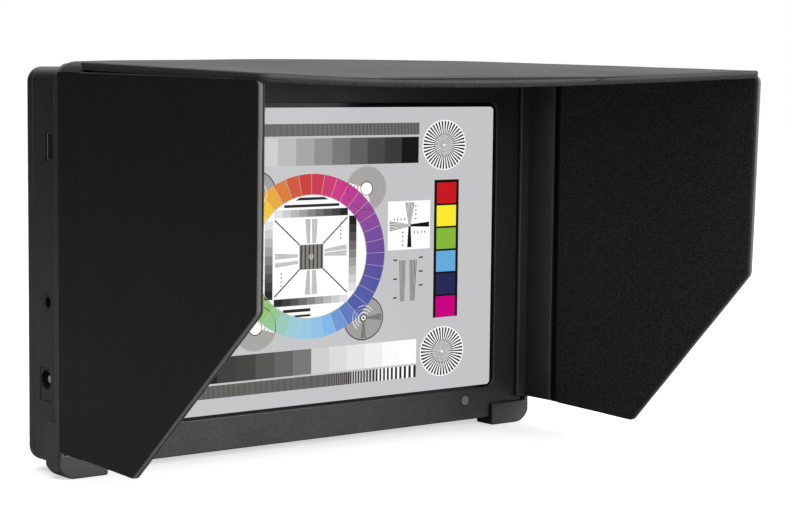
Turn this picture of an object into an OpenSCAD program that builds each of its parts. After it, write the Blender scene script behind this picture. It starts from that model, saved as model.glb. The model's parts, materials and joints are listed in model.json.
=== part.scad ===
// Camera field monitor with a clip-on folding sun hood.
// The origin is the mouth of the tripod socket, in the middle of the monitor's underside.
// X runs along the screen's width, the screen faces -Y, and Z is up.

/* [Monitor] */
// Width of the bezel beside the window
bezel_side = 12.8; // [11.6:0.1:20]
// Height of the bezel above and below the window
bezel_edge = 10.6; // [9.8:0.1:16]
// Depth of the casing from the bezel's face to the back
monitor_d = 22; // [20:0.5:28]
// Corner radius of the casing, seen from the front
corner_r = 4.5; // [4:0.5:8]
// Rounding of the rear edges
rear_round = 2; // [1.5:0.5:4]
// Thickness of the casing's walls
case_wall = 2; // [1.6:0.1:2.2]
// Thickness of the bezel's front wall
bezel_t = 1.4; // [1.2:0.1:1.6]
// Depth of the rear cover behind the seam
cover_d = 4.5; // [4.5:0.1:5]

/* [Screen] */
// Width of the lit picture
screen_w = 150.8; // [140:0.2:152]
// Height of the lit picture
screen_h = 94.2; // [88:0.2:95]
// Dark margin between the picture and the bezel's window
window_margin = 1.3; // [1:0.1:2]
// Corner radius of the window
window_r = 3.4; // [2:0.2:5]
// Thickness of the cover glass
glass_t = 0.9; // [0.7:0.1:1]
// Thickness of the glass gasket
gasket_t = 0.5; // [0.4:0.1:0.6]
// Thickness of the display panel
panel_t = 1.8; // [1.4:0.1:2]
// Thickness of the backlight
backlight_t = 2.6; // [2:0.1:2.8]
// Thickness of the sheet-metal tray
tray_t = 0.8; // [0.6:0.1:1]
// Border of the panel outside the lit picture
panel_border = 3.6; // [3:0.2:3.8]

/* [Boards] */
// Thickness of the circuit boards
board_t = 1.2; // [1:0.1:1.6]
// Height of the standoffs under the main board
standoff_h = 3.5; // [3:0.1:3.8]
// Radius of a standoff
standoff_r = 2.5; // [2.2:0.1:3]
// Width of the display ribbon
ribbon_w = 30; // [20:1:40]
// Thickness of the display ribbon
ribbon_t = 0.2; // [0.2:0.05:0.3]

/* [Left side sockets] */
// Distance of the small video socket's middle below the top
small_socket_drop = 23.3; // [22:0.1:28]
// Depth of the small video socket behind the bezel's face
small_socket_depth = 7.8; // [7.4:0.1:8]
// Length of the small video socket's mouth
small_socket_h = 7.4; // [6.4:0.1:8]
// Width of the small video socket's mouth
small_socket_w = 3.4; // [3:0.1:3.6]
// Height of the headphone socket above the base
jack_z = 48.8; // [47:0.1:58]
// Depth of the headphone socket behind the bezel's face
jack_depth = 8.9; // [8.4:0.1:9.2]
// Radius of the headphone socket's bore
jack_r = 1.75; // [1.75:0.01:1.8]
// Radius of the headphone socket's collar
jack_collar_r = 3; // [2.6:0.1:3.2]
// Height of the power socket's hole above the base
power_z = 25.7; // [25:0.1:28]
// Depth of the power socket's hole behind the bezel's face
power_depth = 10.4; // [10:0.1:10.6]
// Radius of the power socket's hole
power_r = 2.85; // [2.6:0.05:2.95]
// Radius of the power socket's centre pin
power_pin_r = 1.05; // [0.8:0.05:1.25]
// Width of the power socket's face
power_face_w = 6.5; // [6.4:0.1:7]
// Height of the power socket's face
power_face_h = 9.9; // [9:0.1:11]

/* [Right side socket] */
// Height of the full-size video socket above the base
video_z = 58; // [54:0.5:64]
// Length of the full-size video socket's mouth
video_mouth_h = 14; // [13.9:0.1:15]
// Width of the full-size video socket's mouth
video_mouth_w = 4.55; // [4.55:0.05:4.8]
// Thickness of the full-size video socket's shell
video_shell_t = 0.45; // [0.3:0.05:0.5]

/* [Buttons] */
// Distance between neighbouring buttons
button_pitch = 8.6; // [8.5:0.1:8.8]
// Distance of the last button from the casing's side
button_from_side = 13; // [12:0.5:20]
// Length of a button's cap
button_w = 6.6; // [5:0.1:6.8]
// Width of a button's cap
button_d = 4.2; // [3:0.1:4.6]
// How far a cap stands above the casing
button_proud = 0.8; // [0.6:0.1:1.5]
// Travel of a button
button_travel = 0.5; // [0.3:0.1:0.6]
// Thickness of a button's flange
button_flange_t = 0.9; // [0.6:0.1:1]
// How far a button's flange reaches past its cap
button_rim = 0.7; // [0.5:0.1:0.8]

/* [Status lamp] */
// Distance of the lamp from the casing's side
lamp_from_side = 25; // [16:0.5:60]
// Distance of the lamp below the window
lamp_drop = 3.9; // [3.7:0.1:4.6]
// Radius of the lamp's lens
lamp_r = 1.65; // [1.2:0.05:1.7]
// Radius of the lamp's ring
lamp_ring_r = 2.1; // [1.9:0.05:2.2]

/* [Mounts] */
// Radius of the tripod socket's bore
tripod_r = 2.6; // [2.5:0.05:2.7]
// Radius of the tripod bush
bush_r = 5.5; // [5:0.1:6]
// Spacing of the rear mounting holes
vesa_pitch = 75; // [75:1:100]
// Radius of the rear inserts' bore
insert_bore_r = 1.65; // [1.6:0.01:1.7]
// Radius of a rear insert
insert_r = 2.9; // [2.6:0.1:3.2]
// Length of a rear insert
insert_l = 5.2; // [4.6:0.1:5.6]

/* [Battery plate] */
// Width of the plate
plate_w = 42; // [42:0.5:46]
// Height of the plate
plate_h = 66; // [64:0.5:76]
// Thickness of the plate's base
plate_t = 4.2; // [4.2:0.1:5]
// Height of the plate's rails above its base
rail_h = 4.6; // [4.4:0.1:6]
// Thickness of a rail
rail_t = 2.6; // [2:0.1:3]
// Width of a rail's lip
rail_lip = 1.8; // [1.2:0.1:2]
// Travel of the latch
latch_travel = 1.4; // [1:0.1:1.5]

/* [Hood frame] */
// Gap between the hood's frame and the casing
hood_gap = 0.4; // [0.3:0.05:0.8]
// Wall of the hood's frame
frame_wall = 1.8; // [1.4:0.1:2.4]
// Outer corner radius of the frame
frame_r = 5; // [4:0.5:8]
// Distance from the bezel's face forward to the frame's front edge
frame_front = 14; // [10:0.5:20]
// How far the frame reaches back past the bezel's face
frame_back = 1; // [0.5:0.1:2]
// Thickness of the lip in front of the bezel
lip_t = 1.4; // [1:0.1:2]
// How far the lip covers the bezel
lip_w = 3.6; // [2:0.1:4]
// Height above the base at which the side walls and side flaps end
skirt_z = 6.2; // [4:0.1:10]
// Length of a hook along the monitor's lower edge
hook_l = 16.5; // [12:0.5:24]
// How far a hook reaches back past the bezel's face
hook_back = 6.8; // [4:0.1:9]
// Wall of a hook
hook_wall = 2.2; // [1.6:0.1:2.6]
// Height of a hook's plate in front of the bezel
hook_rise = 5; // [3:0.1:6]

/* [Hood flaps] */
// Distance from the frame's front edge to the fold
fold_gap = 1.3; // [1.3:0.1:2]
// Reach of the side flaps in front of the fold
side_reach = 89.1; // [60:0.1:90]
// Reach of the top flap in front of the fold
top_reach = 90.8; // [62:0.1:96]
// Slope of the top flap in degrees
top_slope = 2; // [1:0.1:4]
// Length of the side flaps' bottom edge
side_bottom = 31.5; // [20:0.1:50]
// Height above the base of the side flaps' lower front corner
side_low_z = 4.9; // [3:0.1:8]
// Height above the base at which the side flaps' front edge ends
side_front_z = 56.8; // [40:0.1:70]
// Corner radius of the side flaps
side_corner_r = 2.5; // [2:0.1:5]
// Corner radius of the top flap
top_corner_r = 3; // [2:0.1:10]
// Thickness of the leather
leather_t = 0.6; // [0.5:0.05:0.7]
// Thickness of the stiffening boards
stiffener_t = 0.9; // [0.6:0.05:1]
// Thickness of the knitted lining
lining_t = 0.7; // [0.5:0.05:0.8]
// Gap between flaps and what they lie on
flap_gap = 0.35; // [0.3:0.05:0.6]
// Gap in the leather along a fold
seam_gap = 0.3; // [0.3:0.02:0.4]
// Distance that the leather starts in front of the bezel's face
leather_start = 2.6; // [2:0.1:4]

/* [Hidden] */
$fn = 48;
// Clearance of pieces that are seated in each other, and of sliding buttons
seat_gap = 0.05;
slide_gap = 0.12;
over = 1;

// The window and the casing round it
window_w = screen_w + 2 * window_margin;
window_h = screen_h + 2 * window_margin;
monitor_w = window_w + 2 * bezel_side;
monitor_h = window_h + 2 * bezel_edge;

// Planes of the casing, from front to back
front_y = -monitor_d / 2;
rear_y = monitor_d / 2;
seam_y = rear_y - cover_d;
side_x = monitor_w / 2;
mid_z = monitor_h / 2;
inner_x = side_x - case_wall;
bezel_back_y = front_y + bezel_t;

// The stack behind the window, from front to back
panel_w = screen_w + 2 * panel_border;
panel_h = screen_h + 2 * (panel_border - 1.2);
glass_y = bezel_back_y - glass_t;
panel_y = bezel_back_y + gasket_t;
backlight_y = panel_y + panel_t;
tray_y = backlight_y + backlight_t;
tray_rim_t = 0.5;
tray_w = panel_w + 2 * (tray_rim_t + seat_gap);
tray_h = panel_h + 2 * (tray_rim_t + seat_gap);
tray_side = tray_w / 2;
tray_low = mid_z - tray_h / 2;

// Main board, carried on the tray by its standoffs
board_y = tray_y + tray_t + standoff_h;
board_x = inner_x - 1.2;
board_edge = 17;
board_low = board_edge;
board_top = monitor_h - board_edge;
standoff_inset = 20.3;
standoff_xs = [-board_x + standoff_inset, board_x - standoff_inset];
standoff_zs = [board_low + 2 * standoff_r, board_top - 2 * standoff_r];

// Screws
screw_r = 1.1;
head_r = 2;
head_h = 1.3;
post_r = 2.8;
post_x = tray_side + post_r + 0.85;
post_z = 13;
edge_post_z = tray_low - post_r - 0.95;
cover_screw_places = [
    [-post_x, post_z], [post_x, post_z],
    [-post_x, monitor_h - post_z], [post_x, monitor_h - post_z],
    [-40, edge_post_z], [40, edge_post_z],
    [-60, monitor_h - edge_post_z], [10, monitor_h - edge_post_z],
];
post_hole_l = 8;
ear_x = tray_side + post_r + 0.45;
ear_zs = [38, 78];
ear_w = 8;
ear_hole_l = 4;

// Button row along the top edge
button_y = 0.8;
button_first = side_x - button_from_side - 5 * button_pitch;
ceiling_z = monitor_h - case_wall;
flange_top_z = ceiling_z - flap_gap;
flange_low_z = flange_top_z - button_flange_t;
switch_h = 1.8;
switch_w = 4.4;
keypad_top_z = flange_low_z - button_travel - slide_gap - switch_h;
keypad_z = keypad_top_z - board_t;
keypad_x0 = button_first - 10.6;
keypad_x1 = button_first + 5 * button_pitch + 9.6;
keypad_posts = [keypad_x0 + 2.6, keypad_x1 - 2.6];
keypad_half_d = 4.4;
keypad_hole_l = 3;

// Side sockets
small_y = front_y + small_socket_depth;
small_socket_z = monitor_h - small_socket_drop;
jack_y = front_y + jack_depth;
power_y = front_y + power_depth;
power_low_z = power_z - power_face_h * 0.64;
socket_x = tray_side + 0.55;
socket_depth = side_x - socket_x;
video_y = board_y - video_mouth_w / 2 - video_shell_t;
video_back_t = 1;

// Status lamp
lamp_x = side_x - lamp_from_side;
lamp_z = mid_z - window_h / 2 - lamp_drop;

// Tripod bush and its boss
bush_h = tray_low - 0.75;
tripod_depth = bush_h - 0.7;
boss_wall = 2;

// Battery plate on the back
plate_low = mid_z - plate_h / 2;
plate_top = mid_z + plate_h / 2;
bay_y = rear_y + plate_t;
plate_stop_t = 2.4;
pocket_w = 14;
pocket_h = 9;
pocket_z = plate_top - 9;
latch_flange_t = 1.4;
latch_low_y = bay_y - latch_flange_t;
pocket_floor_y = latch_low_y - latch_travel - 0.4;

// Speaker, ribbon and chips
speaker_x = -side_x + 27.5;
speaker_z = 26;
speaker_w = 30;
speaker_h = 20;
speaker_t = 4;
ribbon_x = -35;
chip_grid = 12;
chip_t = 1.6;
latch_proud = 1.6;
plate_screw_places = [for (sx = [-1, 1]) for (z = [plate_low + 8, plate_top - 20]) [sx * 12, z]];

// Hood frame
frame_in_x = side_x + hood_gap;
frame_x = frame_in_x + frame_wall;
skin_x = frame_x + leather_t;
frame_in_z = monitor_h + hood_gap;
frame_z = frame_in_z + frame_wall;
skin_z = frame_z + leather_t;
frame_front_y = front_y - frame_front;
lip_back_y = front_y - 0.3;
lip_y = lip_back_y - lip_t;

// Fold lines: the side flaps turn about the middle of their thickness, the top flap about its top face
fold_y = frame_front_y - fold_gap;
flap_t = leather_t + stiffener_t + lining_t;
side_axis_x = skin_x - 1.2;
flap_start = seam_gap / 2;
stiff_start = fold_gap + flap_gap;
board_inset = leather_t + seat_gap;
under_root_z = skin_z - flap_t / cos(top_slope);
side_root_z = under_root_z - flap_gap - stiff_start * tan(top_slope);
side_tip_z = under_root_z - flap_gap - side_reach * tan(top_slope);

// Extrudes a shape drawn in X and Z, from y0 towards the back
module along_y(y0, length) {
    translate([0, y0 + length, 0]) rotate([90, 0, 0]) linear_extrude(length) children();
}

// Extrudes a shape drawn in Y and Z, from x0 towards the right
module along_x(x0, length) {
    translate([x0, 0, 0]) rotate([90, 0, 90]) linear_extrude(length) children();
}

module rod_y(x, z, y0, length, r) {
    along_y(y0, length) translate([x, z]) circle(r);
}

module rod_x(y, z, x0, length, r) {
    along_x(x0, length) translate([y, z]) circle(r);
}

// Plain block from its lowest corner to its highest
module block(low, high) {
    translate(low) cube(high - low);
}

module rounded_rect(w, h, r) {
    square([w - 2 * r, h], center = true);
    square([w, h - 2 * r], center = true);
    for (sx = [-1, 1]) for (sz = [-1, 1])
        translate([sx * (w / 2 - r), sz * (h / 2 - r)]) circle(r);
}

// Rounded rectangle in X and Z about the middle of the screen
module panel_shape(w, h, r) {
    translate([0, mid_z]) rounded_rect(w, h, r);
}

// Stadium lying along X, seen from above
module stadium(w, d) {
    square([w - d, d], center = true);
    for (sx = [-1, 1]) translate([sx * (w - d) / 2, 0]) circle(d / 2);
}

// Machine screw along Y, its head towards the back
module screw_y(place, head_y, length) {
    rod_y(place[0], place[1], head_y, head_h, head_r);
    rod_y(place[0], place[1], head_y - length, length + head_h / 2, screw_r);
}

// Mouth of the small socket, its front corners cut off
module small_mouth(grow) {
    w = small_socket_w / 2 + grow;
    h = small_socket_h / 2 + grow;
    cut = 1.2;
    translate([small_y, small_socket_z])
        polygon([[-w, -h + cut], [-w + cut, -h], [w, -h], [w, h], [-w + cut, h], [-w, h - cut]]);
}

// Rear block of the casing with its rounded back edges
module cover_block() {
    arc = [for (a = [0:15:90])
        [corner_r - rear_round + rear_round * cos(a), cover_d - rear_round + rear_round * sin(a)]];
    hull() for (sx = [-1, 1]) for (sz = [-1, 1])
        translate([sx * (side_x - corner_r), seam_y, mid_z + sz * (mid_z - corner_r)])
            rotate([-90, 0, 0]) rotate_extrude($fn = 32)
                polygon(concat([[0, 0], [corner_r, 0]], arc, [[0, cover_d]]));
}

module front_casing() {
    color([0.16, 0.16, 0.17]) difference() {
        union() {
            difference() {
                along_y(front_y, seam_y - front_y) panel_shape(monitor_w, monitor_h, corner_r);
                along_y(bezel_back_y, monitor_d)
                    panel_shape(monitor_w - 2 * case_wall, monitor_h - 2 * case_wall, corner_r - case_wall);
            }
            for (place = cover_screw_places)
                rod_y(place[0], place[1], bezel_back_y, seam_y - bezel_back_y, post_r);
            for (sx = [-1, 1]) for (z = ear_zs)
                rod_y(sx * ear_x, z, bezel_back_y, tray_y - bezel_back_y, post_r);
            intersection() {
                cylinder(h = bush_h + seat_gap, r = bush_r + boss_wall);
                block([-monitor_w, front_y, 0], [monitor_w, seam_y, monitor_h]);
            }
            for (x = keypad_posts)
                translate([x, button_y, keypad_top_z]) cylinder(h = ceiling_z - keypad_top_z + 0.5, r = 2.3);
        }
        along_y(front_y - over, bezel_t + 2 * over) panel_shape(window_w, window_h, window_r);
        for (place = cover_screw_places)
            rod_y(place[0], place[1], seam_y - post_hole_l, post_hole_l + over, screw_r + seat_gap);
        for (sx = [-1, 1]) for (z = ear_zs)
            rod_y(sx * ear_x, z, tray_y - ear_hole_l, ear_hole_l + over, screw_r + seat_gap);
        for (x = keypad_posts)
            translate([x, button_y, keypad_top_z - over])
                cylinder(h = keypad_hole_l + over, r = screw_r + seat_gap);
        translate([0, 0, -over]) cylinder(h = bush_h + 2 * over + seat_gap, r = bush_r + seat_gap);
        rod_y(lamp_x, lamp_z, front_y - over, bezel_t + 2 * over, lamp_r + seat_gap);
        rod_y(lamp_x, lamp_z, front_y - over, over + 0.5, lamp_ring_r + seat_gap);
        for (i = [0:5]) translate([button_first + i * button_pitch, button_y, ceiling_z - over])
            linear_extrude(case_wall + 2 * over) stadium(button_w + 2 * slide_gap, button_d + 2 * slide_gap);
        along_x(-side_x - over, case_wall + 2 * over) small_mouth(0.5);
        rod_x(jack_y, jack_z, -side_x - over, case_wall + 2 * over, jack_collar_r + seat_gap);
        along_x(-side_x - over, case_wall + 2 * over) power_face(seat_gap);
        along_x(inner_x - over, case_wall + 2 * over) video_face(seat_gap);
    }
}

module rear_cover() {
    color([0.16, 0.16, 0.17]) difference() {
        union() {
            difference() {
                cover_block();
                along_y(seam_y - over, cover_d - case_wall + over)
                    panel_shape(monitor_w - 2 * case_wall, monitor_h - 2 * case_wall, corner_r - case_wall);
            }
            for (place = cover_screw_places)
                rod_y(place[0], place[1], seam_y, cover_d - 0.5, post_r);
            for (sx = [-1, 1]) for (sz = [-1, 1])
                rod_y(sx * vesa_pitch / 2, mid_z + sz * vesa_pitch / 2, rear_y - insert_l - 0.6,
                    insert_l + 0.1, insert_r + 1.6);
        }
        for (place = cover_screw_places) {
            rod_y(place[0], place[1], seam_y - over, cover_d + 2 * over, screw_r + seat_gap);
            rod_y(place[0], place[1], rear_y - head_h - 0.2, head_h + over, head_r + 0.15);
        }
        for (sx = [-1, 1]) for (sz = [-1, 1])
            rod_y(sx * vesa_pitch / 2, mid_z + sz * vesa_pitch / 2, rear_y - insert_l, insert_l + over,
                insert_r + seat_gap);
        for (place = plate_screw_places)
            rod_y(place[0], place[1], rear_y - case_wall - over, case_wall + 2 * over, screw_r + seat_gap);
        for (i = [-8:8]) if (abs(i) > 0)
            along_y(rear_y - case_wall - over, case_wall + 2 * over)
                translate([i * 4.2, monitor_h - 14]) square([2, 14], center = true);
        for (row = [-2:2]) for (col = [-4:4])
            rod_y(speaker_x + col * 3, speaker_z + row * 3, rear_y - case_wall - over,
                case_wall + 2 * over, 0.8);
    }
}

module display_glass() {
    color([0.75, 0.75, 0.77]) along_y(glass_y, glass_t)
        panel_shape(window_w - 2 * seat_gap, window_h - 2 * seat_gap, window_r - seat_gap);
}

module glass_gasket() {
    color([0.05, 0.05, 0.05]) difference() {
        along_y(bezel_back_y, gasket_t) panel_shape(panel_w, panel_h, window_r);
        along_y(bezel_back_y - over, gasket_t + 2 * over) panel_shape(screen_w + 0.4, screen_h + 0.4, 1);
    }
}

module lcd_panel() {
    color([0.2, 0.2, 0.24]) along_y(panel_y, panel_t) panel_shape(panel_w, panel_h, 1);
}

module backlight() {
    color([0.95, 0.95, 0.95]) along_y(backlight_y, backlight_t) panel_shape(panel_w, panel_h, 1);
}

module lcd_tray() {
    color([0.7, 0.71, 0.73]) difference() {
        union() {
            along_y(tray_y, tray_t) {
                panel_shape(tray_w, tray_h, 1.4);
                for (sx = [-1, 1]) for (z = ear_zs)
                    translate([sx * (ear_x - 2), z]) square([ear_w + 2, ear_w], center = true);
            }
            along_y(panel_y, tray_y - panel_y) difference() {
                panel_shape(tray_w, tray_h, 1.4);
                panel_shape(tray_w - 2 * tray_rim_t, tray_h - 2 * tray_rim_t, 1);
            }
        }
        for (sx = [-1, 1]) for (z = ear_zs)
            rod_y(sx * ear_x, z, tray_y - over, tray_t + 2 * over, screw_r + seat_gap);
        block([ribbon_x - ribbon_w / 2 - 1, panel_y - over, 0],
            [ribbon_x + ribbon_w / 2 + 1, tray_y - 1, mid_z - panel_h / 2 - seat_gap / 2]);
    }
}

module display_ribbon() {
    low = mid_z - tray_h / 2 - 0.7;
    start_y = panel_y + 0.4;
    end_y = board_y - 0.8;
    color([0.8, 0.55, 0.2]) along_x(ribbon_x - ribbon_w / 2, ribbon_w) {
        translate([start_y, low]) square([ribbon_t, mid_z - panel_h / 2 - low]);
        translate([start_y, low]) square([end_y - start_y, ribbon_t]);
        translate([end_y - ribbon_t, low]) square([ribbon_t, board_low + 4 - low]);
        translate([end_y - ribbon_t, board_low + 1]) square([board_y - end_y + ribbon_t, 4]);
    }
}

module main_board() {
    color([0.05, 0.3, 0.15]) difference() {
        block([-board_x, board_y, board_low], [board_x, board_y + board_t, board_top]);
        for (x = standoff_xs) for (z = standoff_zs)
            rod_y(x, z, board_y - over, board_t + 2 * over, screw_r + seat_gap);
        block([-board_x - over, board_y - over, power_low_z - 0.3],
            [-socket_x + 0.3, board_y + board_t + over, power_low_z + power_face_h + 0.3]);
    }
}

module board_chips() {
    color([0.08, 0.08, 0.08]) {
        chip(-1, 3, 1.8, chip_t);
        chip(2, 3, 1, chip_t * 0.8);
        chip(2, 1.6, 1, chip_t * 0.8);
        chip(-4, 4, 0.8, chip_t);
        for (i = [0:4]) chip(-4 + i * 0.7, 2, 0.35, chip_t * 1.5);
        for (i = [0:2])
            rod_y((4 + i * 0.75) * chip_grid, board_low + chip_grid, board_y + board_t,
                chip_t * 2.5, chip_grid / 4);
    }
}

// A square package on the board's back, placed and sized on a grid of chip_grid
module chip(col, row, size, height) {
    along_y(board_y + board_t, height)
        translate([col * chip_grid, board_low + row * chip_grid]) square(size * chip_grid);
}

module board_standoffs() {
    color([0.8, 0.65, 0.3]) for (x = standoff_xs) for (z = standoff_zs) difference() {
        rod_y(x, z, tray_y + tray_t, standoff_h, standoff_r);
        rod_y(x, z, tray_y + tray_t + 0.4, standoff_h, screw_r + seat_gap);
    }
}

module board_screws() {
    color([0.6, 0.6, 0.62]) for (x = standoff_xs) for (z = standoff_zs)
        screw_y([x, z], board_y + board_t, board_t + standoff_h - 1);
}

module tray_screws() {
    color([0.6, 0.6, 0.62]) for (sx = [-1, 1]) for (z = ear_zs)
        screw_y([sx * ear_x, z], tray_y + tray_t, tray_t + ear_hole_l * 0.85);
}

module small_video_socket() {
    color([0.75, 0.75, 0.76]) difference() {
        along_x(-side_x + 0.6, socket_depth - 0.6) small_mouth(0.4);
        along_x(-side_x, socket_depth - 1.6) small_mouth(0);
    }
    color([0.1, 0.1, 0.1]) block([-side_x + 2.2, small_y - 0.35, small_socket_z - 2.4],
        [-socket_x - 1, small_y + 0.35, small_socket_z + 2.4]);
}

module headphone_socket() {
    color([0.07, 0.07, 0.07]) difference() {
        union() {
            rod_x(jack_y, jack_z, -side_x + 0.1, case_wall + 0.4, jack_collar_r);
            block([-inner_x + 0.3, jack_y - 2.8, jack_z - 3.1], [-socket_x, board_y, jack_z + 3.1]);
        }
        rod_x(jack_y, jack_z, -side_x - over, socket_depth - 1 + over, jack_r);
    }
}

// Face of the power socket, its hole nearer the top
module power_face(grow) {
    translate([power_y - power_face_w / 2 - grow, power_low_z - grow])
        square([power_face_w + 2 * grow, power_face_h + 2 * grow]);
}

module power_socket() {
    color([0.06, 0.06, 0.06]) difference() {
        along_x(-side_x + 0.2, socket_depth - 0.2) power_face(0);
        rod_x(power_y, power_z, -side_x - over, socket_depth - 1.2 + over, power_r);
        rod_x(power_y, power_z, -socket_x - 2, 2 + over, power_pin_r + seat_gap);
    }
}

module power_pin() {
    color([0.9, 0.88, 0.8]) rod_x(power_y, power_z, -side_x + 1.4, socket_depth - 1.4, power_pin_r);
}

// Outside of the full-size video socket's shell
module video_face(grow) {
    w = video_mouth_w + 2 * video_shell_t + 2 * grow;
    h = video_mouth_h + 2 * video_shell_t + 2 * grow;
    translate([video_y, video_z]) square([w, h], center = true);
}

module video_socket() {
    color([0.75, 0.75, 0.76]) difference() {
        along_x(socket_x, socket_depth - 0.2) video_face(0);
        along_x(socket_x + video_back_t, socket_depth) video_face(-video_shell_t);
    }
}

module keypad_board() {
    color([0.05, 0.3, 0.15]) difference() {
        block([keypad_x0, button_y - keypad_half_d, keypad_z],
            [keypad_x1, button_y + keypad_half_d, keypad_top_z]);
        for (x = keypad_posts) translate([x, button_y, keypad_z - over])
            cylinder(h = board_t + 2 * over, r = screw_r + seat_gap);
    }
}

module keypad_screws() {
    color([0.6, 0.6, 0.62]) for (x = keypad_posts) translate([x, button_y, keypad_z - head_h]) {
        cylinder(h = head_h, r = head_r);
        cylinder(h = head_h + board_t + keypad_hole_l * 0.8, r = screw_r);
    }
}

module tact_switches() {
    color([0.65, 0.65, 0.66]) for (i = [0:5])
        translate([button_first + i * button_pitch, button_y, keypad_top_z]) {
            translate([0, 0, switch_h * 0.3]) cube([switch_w, switch_w, switch_h * 0.6], center = true);
            cylinder(h = switch_h, r = switch_w / 4);
        }
}

module button(i) {
    color([0.12, 0.12, 0.13]) translate([button_first + i * button_pitch, button_y, 0]) {
        translate([0, 0, flange_low_z]) linear_extrude(monitor_h + button_proud - flange_low_z)
            stadium(button_w, button_d);
        translate([0, 0, flange_low_z]) linear_extrude(button_flange_t)
            stadium(button_w + 2 * button_rim, button_d + 2 * button_rim);
    }
}

module power_button() { button(0); }
module input_button() { button(1); }
module menu_button() { button(2); }
module down_button() { button(3); }
module up_button() { button(4); }
module exit_button() { button(5); }

module status_lamp() {
    color([0.3, 0.5, 0.35]) rod_y(lamp_x, lamp_z, front_y + 0.1, bezel_t + 1.4, lamp_r);
}

module lamp_ring() {
    color([0.3, 0.3, 0.3]) difference() {
        rod_y(lamp_x, lamp_z, front_y - 0.15, 0.65, lamp_ring_r);
        rod_y(lamp_x, lamp_z, front_y - over, 2 * over, lamp_r + seat_gap);
    }
}

module lamp_board() {
    lens_end = front_y + 0.1 + bezel_t + 1.4;
    color([0.05, 0.3, 0.15]) {
        block([lamp_x - 5, lens_end + 0.9, case_wall], [lamp_x + 5, lens_end + 0.9 + board_t, lamp_z + 1.6]);
        block([lamp_x - 0.9, lens_end + 0.1, lamp_z - 0.9], [lamp_x + 0.9, lens_end + 0.9, lamp_z + 0.9]);
    }
}

module speaker() {
    color([0.1, 0.1, 0.1]) {
        along_y(rear_y - case_wall - speaker_t, speaker_t) translate([speaker_x, speaker_z]) difference() {
            rounded_rect(speaker_w, speaker_h, 3);
            rounded_rect(speaker_w - 4, speaker_h - 4, 2);
        }
        along_y(rear_y - case_wall - speaker_t, 1.4) translate([speaker_x, speaker_z])
            rounded_rect(speaker_w, speaker_h, 3);
    }
}

module tripod_bush() {
    color([0.8, 0.65, 0.3]) difference() {
        cylinder(h = bush_h, r = bush_r);
        translate([0, 0, -over]) cylinder(h = tripod_depth + over, r = tripod_r);
    }
}

module rear_inserts() {
    color([0.8, 0.65, 0.3]) for (sx = [-1, 1]) for (sz = [-1, 1])
        translate([sx * vesa_pitch / 2, 0, mid_z + sz * vesa_pitch / 2]) difference() {
            rod_y(0, 0, rear_y - insert_l, insert_l - 0.1, insert_r);
            rod_y(0, 0, rear_y - insert_l + 0.6, insert_l, insert_bore_r);
        }
}

module cover_screws() {
    color([0.15, 0.15, 0.15]) for (place = cover_screw_places)
        screw_y(place, rear_y - head_h - 0.2, cover_d - head_h - 0.2 + post_hole_l * 0.85);
}

module battery_plate() {
    color([0.1, 0.1, 0.11]) difference() {
        union() {
            block([-plate_w / 2, rear_y, plate_low], [plate_w / 2, bay_y, plate_top]);
            for (sx = [-1, 1]) translate([sx * (plate_w / 2 - rail_t / 2), bay_y + rail_h / 2, mid_z])
                cube([rail_t, rail_h, plate_h], center = true);
            for (sx = [-1, 1])
                translate([sx * (plate_w / 2 - rail_t - rail_lip / 2), bay_y + rail_h - 0.7, mid_z - 3])
                    cube([rail_lip, 1.4, plate_h - 6], center = true);
            block([-plate_w / 2, bay_y, plate_low], [plate_w / 2, bay_y + rail_h, plate_low + plate_stop_t]);
        }
        block([-pocket_w / 2, pocket_floor_y, pocket_z - pocket_h / 2],
            [pocket_w / 2, bay_y + over, pocket_z + pocket_h / 2]);
        for (place = plate_screw_places) {
            rod_y(place[0], place[1], rear_y - over, plate_t + 2 * over, screw_r + seat_gap);
            rod_y(place[0], place[1], bay_y - head_h - 0.2, head_h + over, head_r + 0.15);
        }
        for (x = [-6, 0, 6])
            translate([x, bay_y + rail_h / 2, plate_low - over])
                cylinder(h = plate_stop_t + 2 * over, r = 0.9 + seat_gap);
    }
}

module battery_contacts() {
    color([0.9, 0.75, 0.35]) for (x = [-6, 0, 6])
        translate([x, bay_y + rail_h / 2, plate_low + 0.4]) cylinder(h = plate_stop_t + 2.4, r = 0.9);
}

module plate_screws() {
    color([0.6, 0.6, 0.62]) for (place = plate_screw_places)
        screw_y(place, bay_y - head_h - 0.2, plate_t - head_h - 0.2 + case_wall * 0.85);
}

module latch_spring() {
    color([0.75, 0.75, 0.76]) {
        block([-5, pocket_floor_y, pocket_z - 2], [5, pocket_floor_y + 0.3, pocket_z + 2]);
        block([-1.5, pocket_floor_y, pocket_z - 3], [1.5, pocket_floor_y + 0.3, pocket_z + 3]);
    }
}

module battery_latch() {
    w = pocket_w / 2 - slide_gap;
    h = pocket_h / 2 - slide_gap;
    color([0.45, 0.1, 0.1]) {
        block([-w, latch_low_y, pocket_z - h], [w, bay_y, pocket_z + h]);
        block([-w + 1.5, bay_y, pocket_z - h + 1], [w - 1.5, bay_y + latch_proud, pocket_z + h - 1]);
    }
}

// Upside-down U of the hood's rim down to the skirt's height, with rounded upper corners
module arch(half_w, top_z, r) {
    translate([-half_w, skirt_z]) square([2 * half_w, top_z - r - skirt_z]);
    translate([-half_w + r, skirt_z]) square([2 * (half_w - r), top_z - skirt_z]);
    for (sx = [-1, 1]) translate([sx * (half_w - r), top_z - r]) circle(r);
}

module arch_ring(out_x, out_z, out_r, in_x, in_z, in_r) {
    difference() {
        arch(out_x, out_z, out_r);
        translate([0, -over]) arch(in_x, in_z + over, in_r);
        translate([-in_x, skirt_z - over]) square([2 * in_x, 4 * over]);
    }
}

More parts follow.
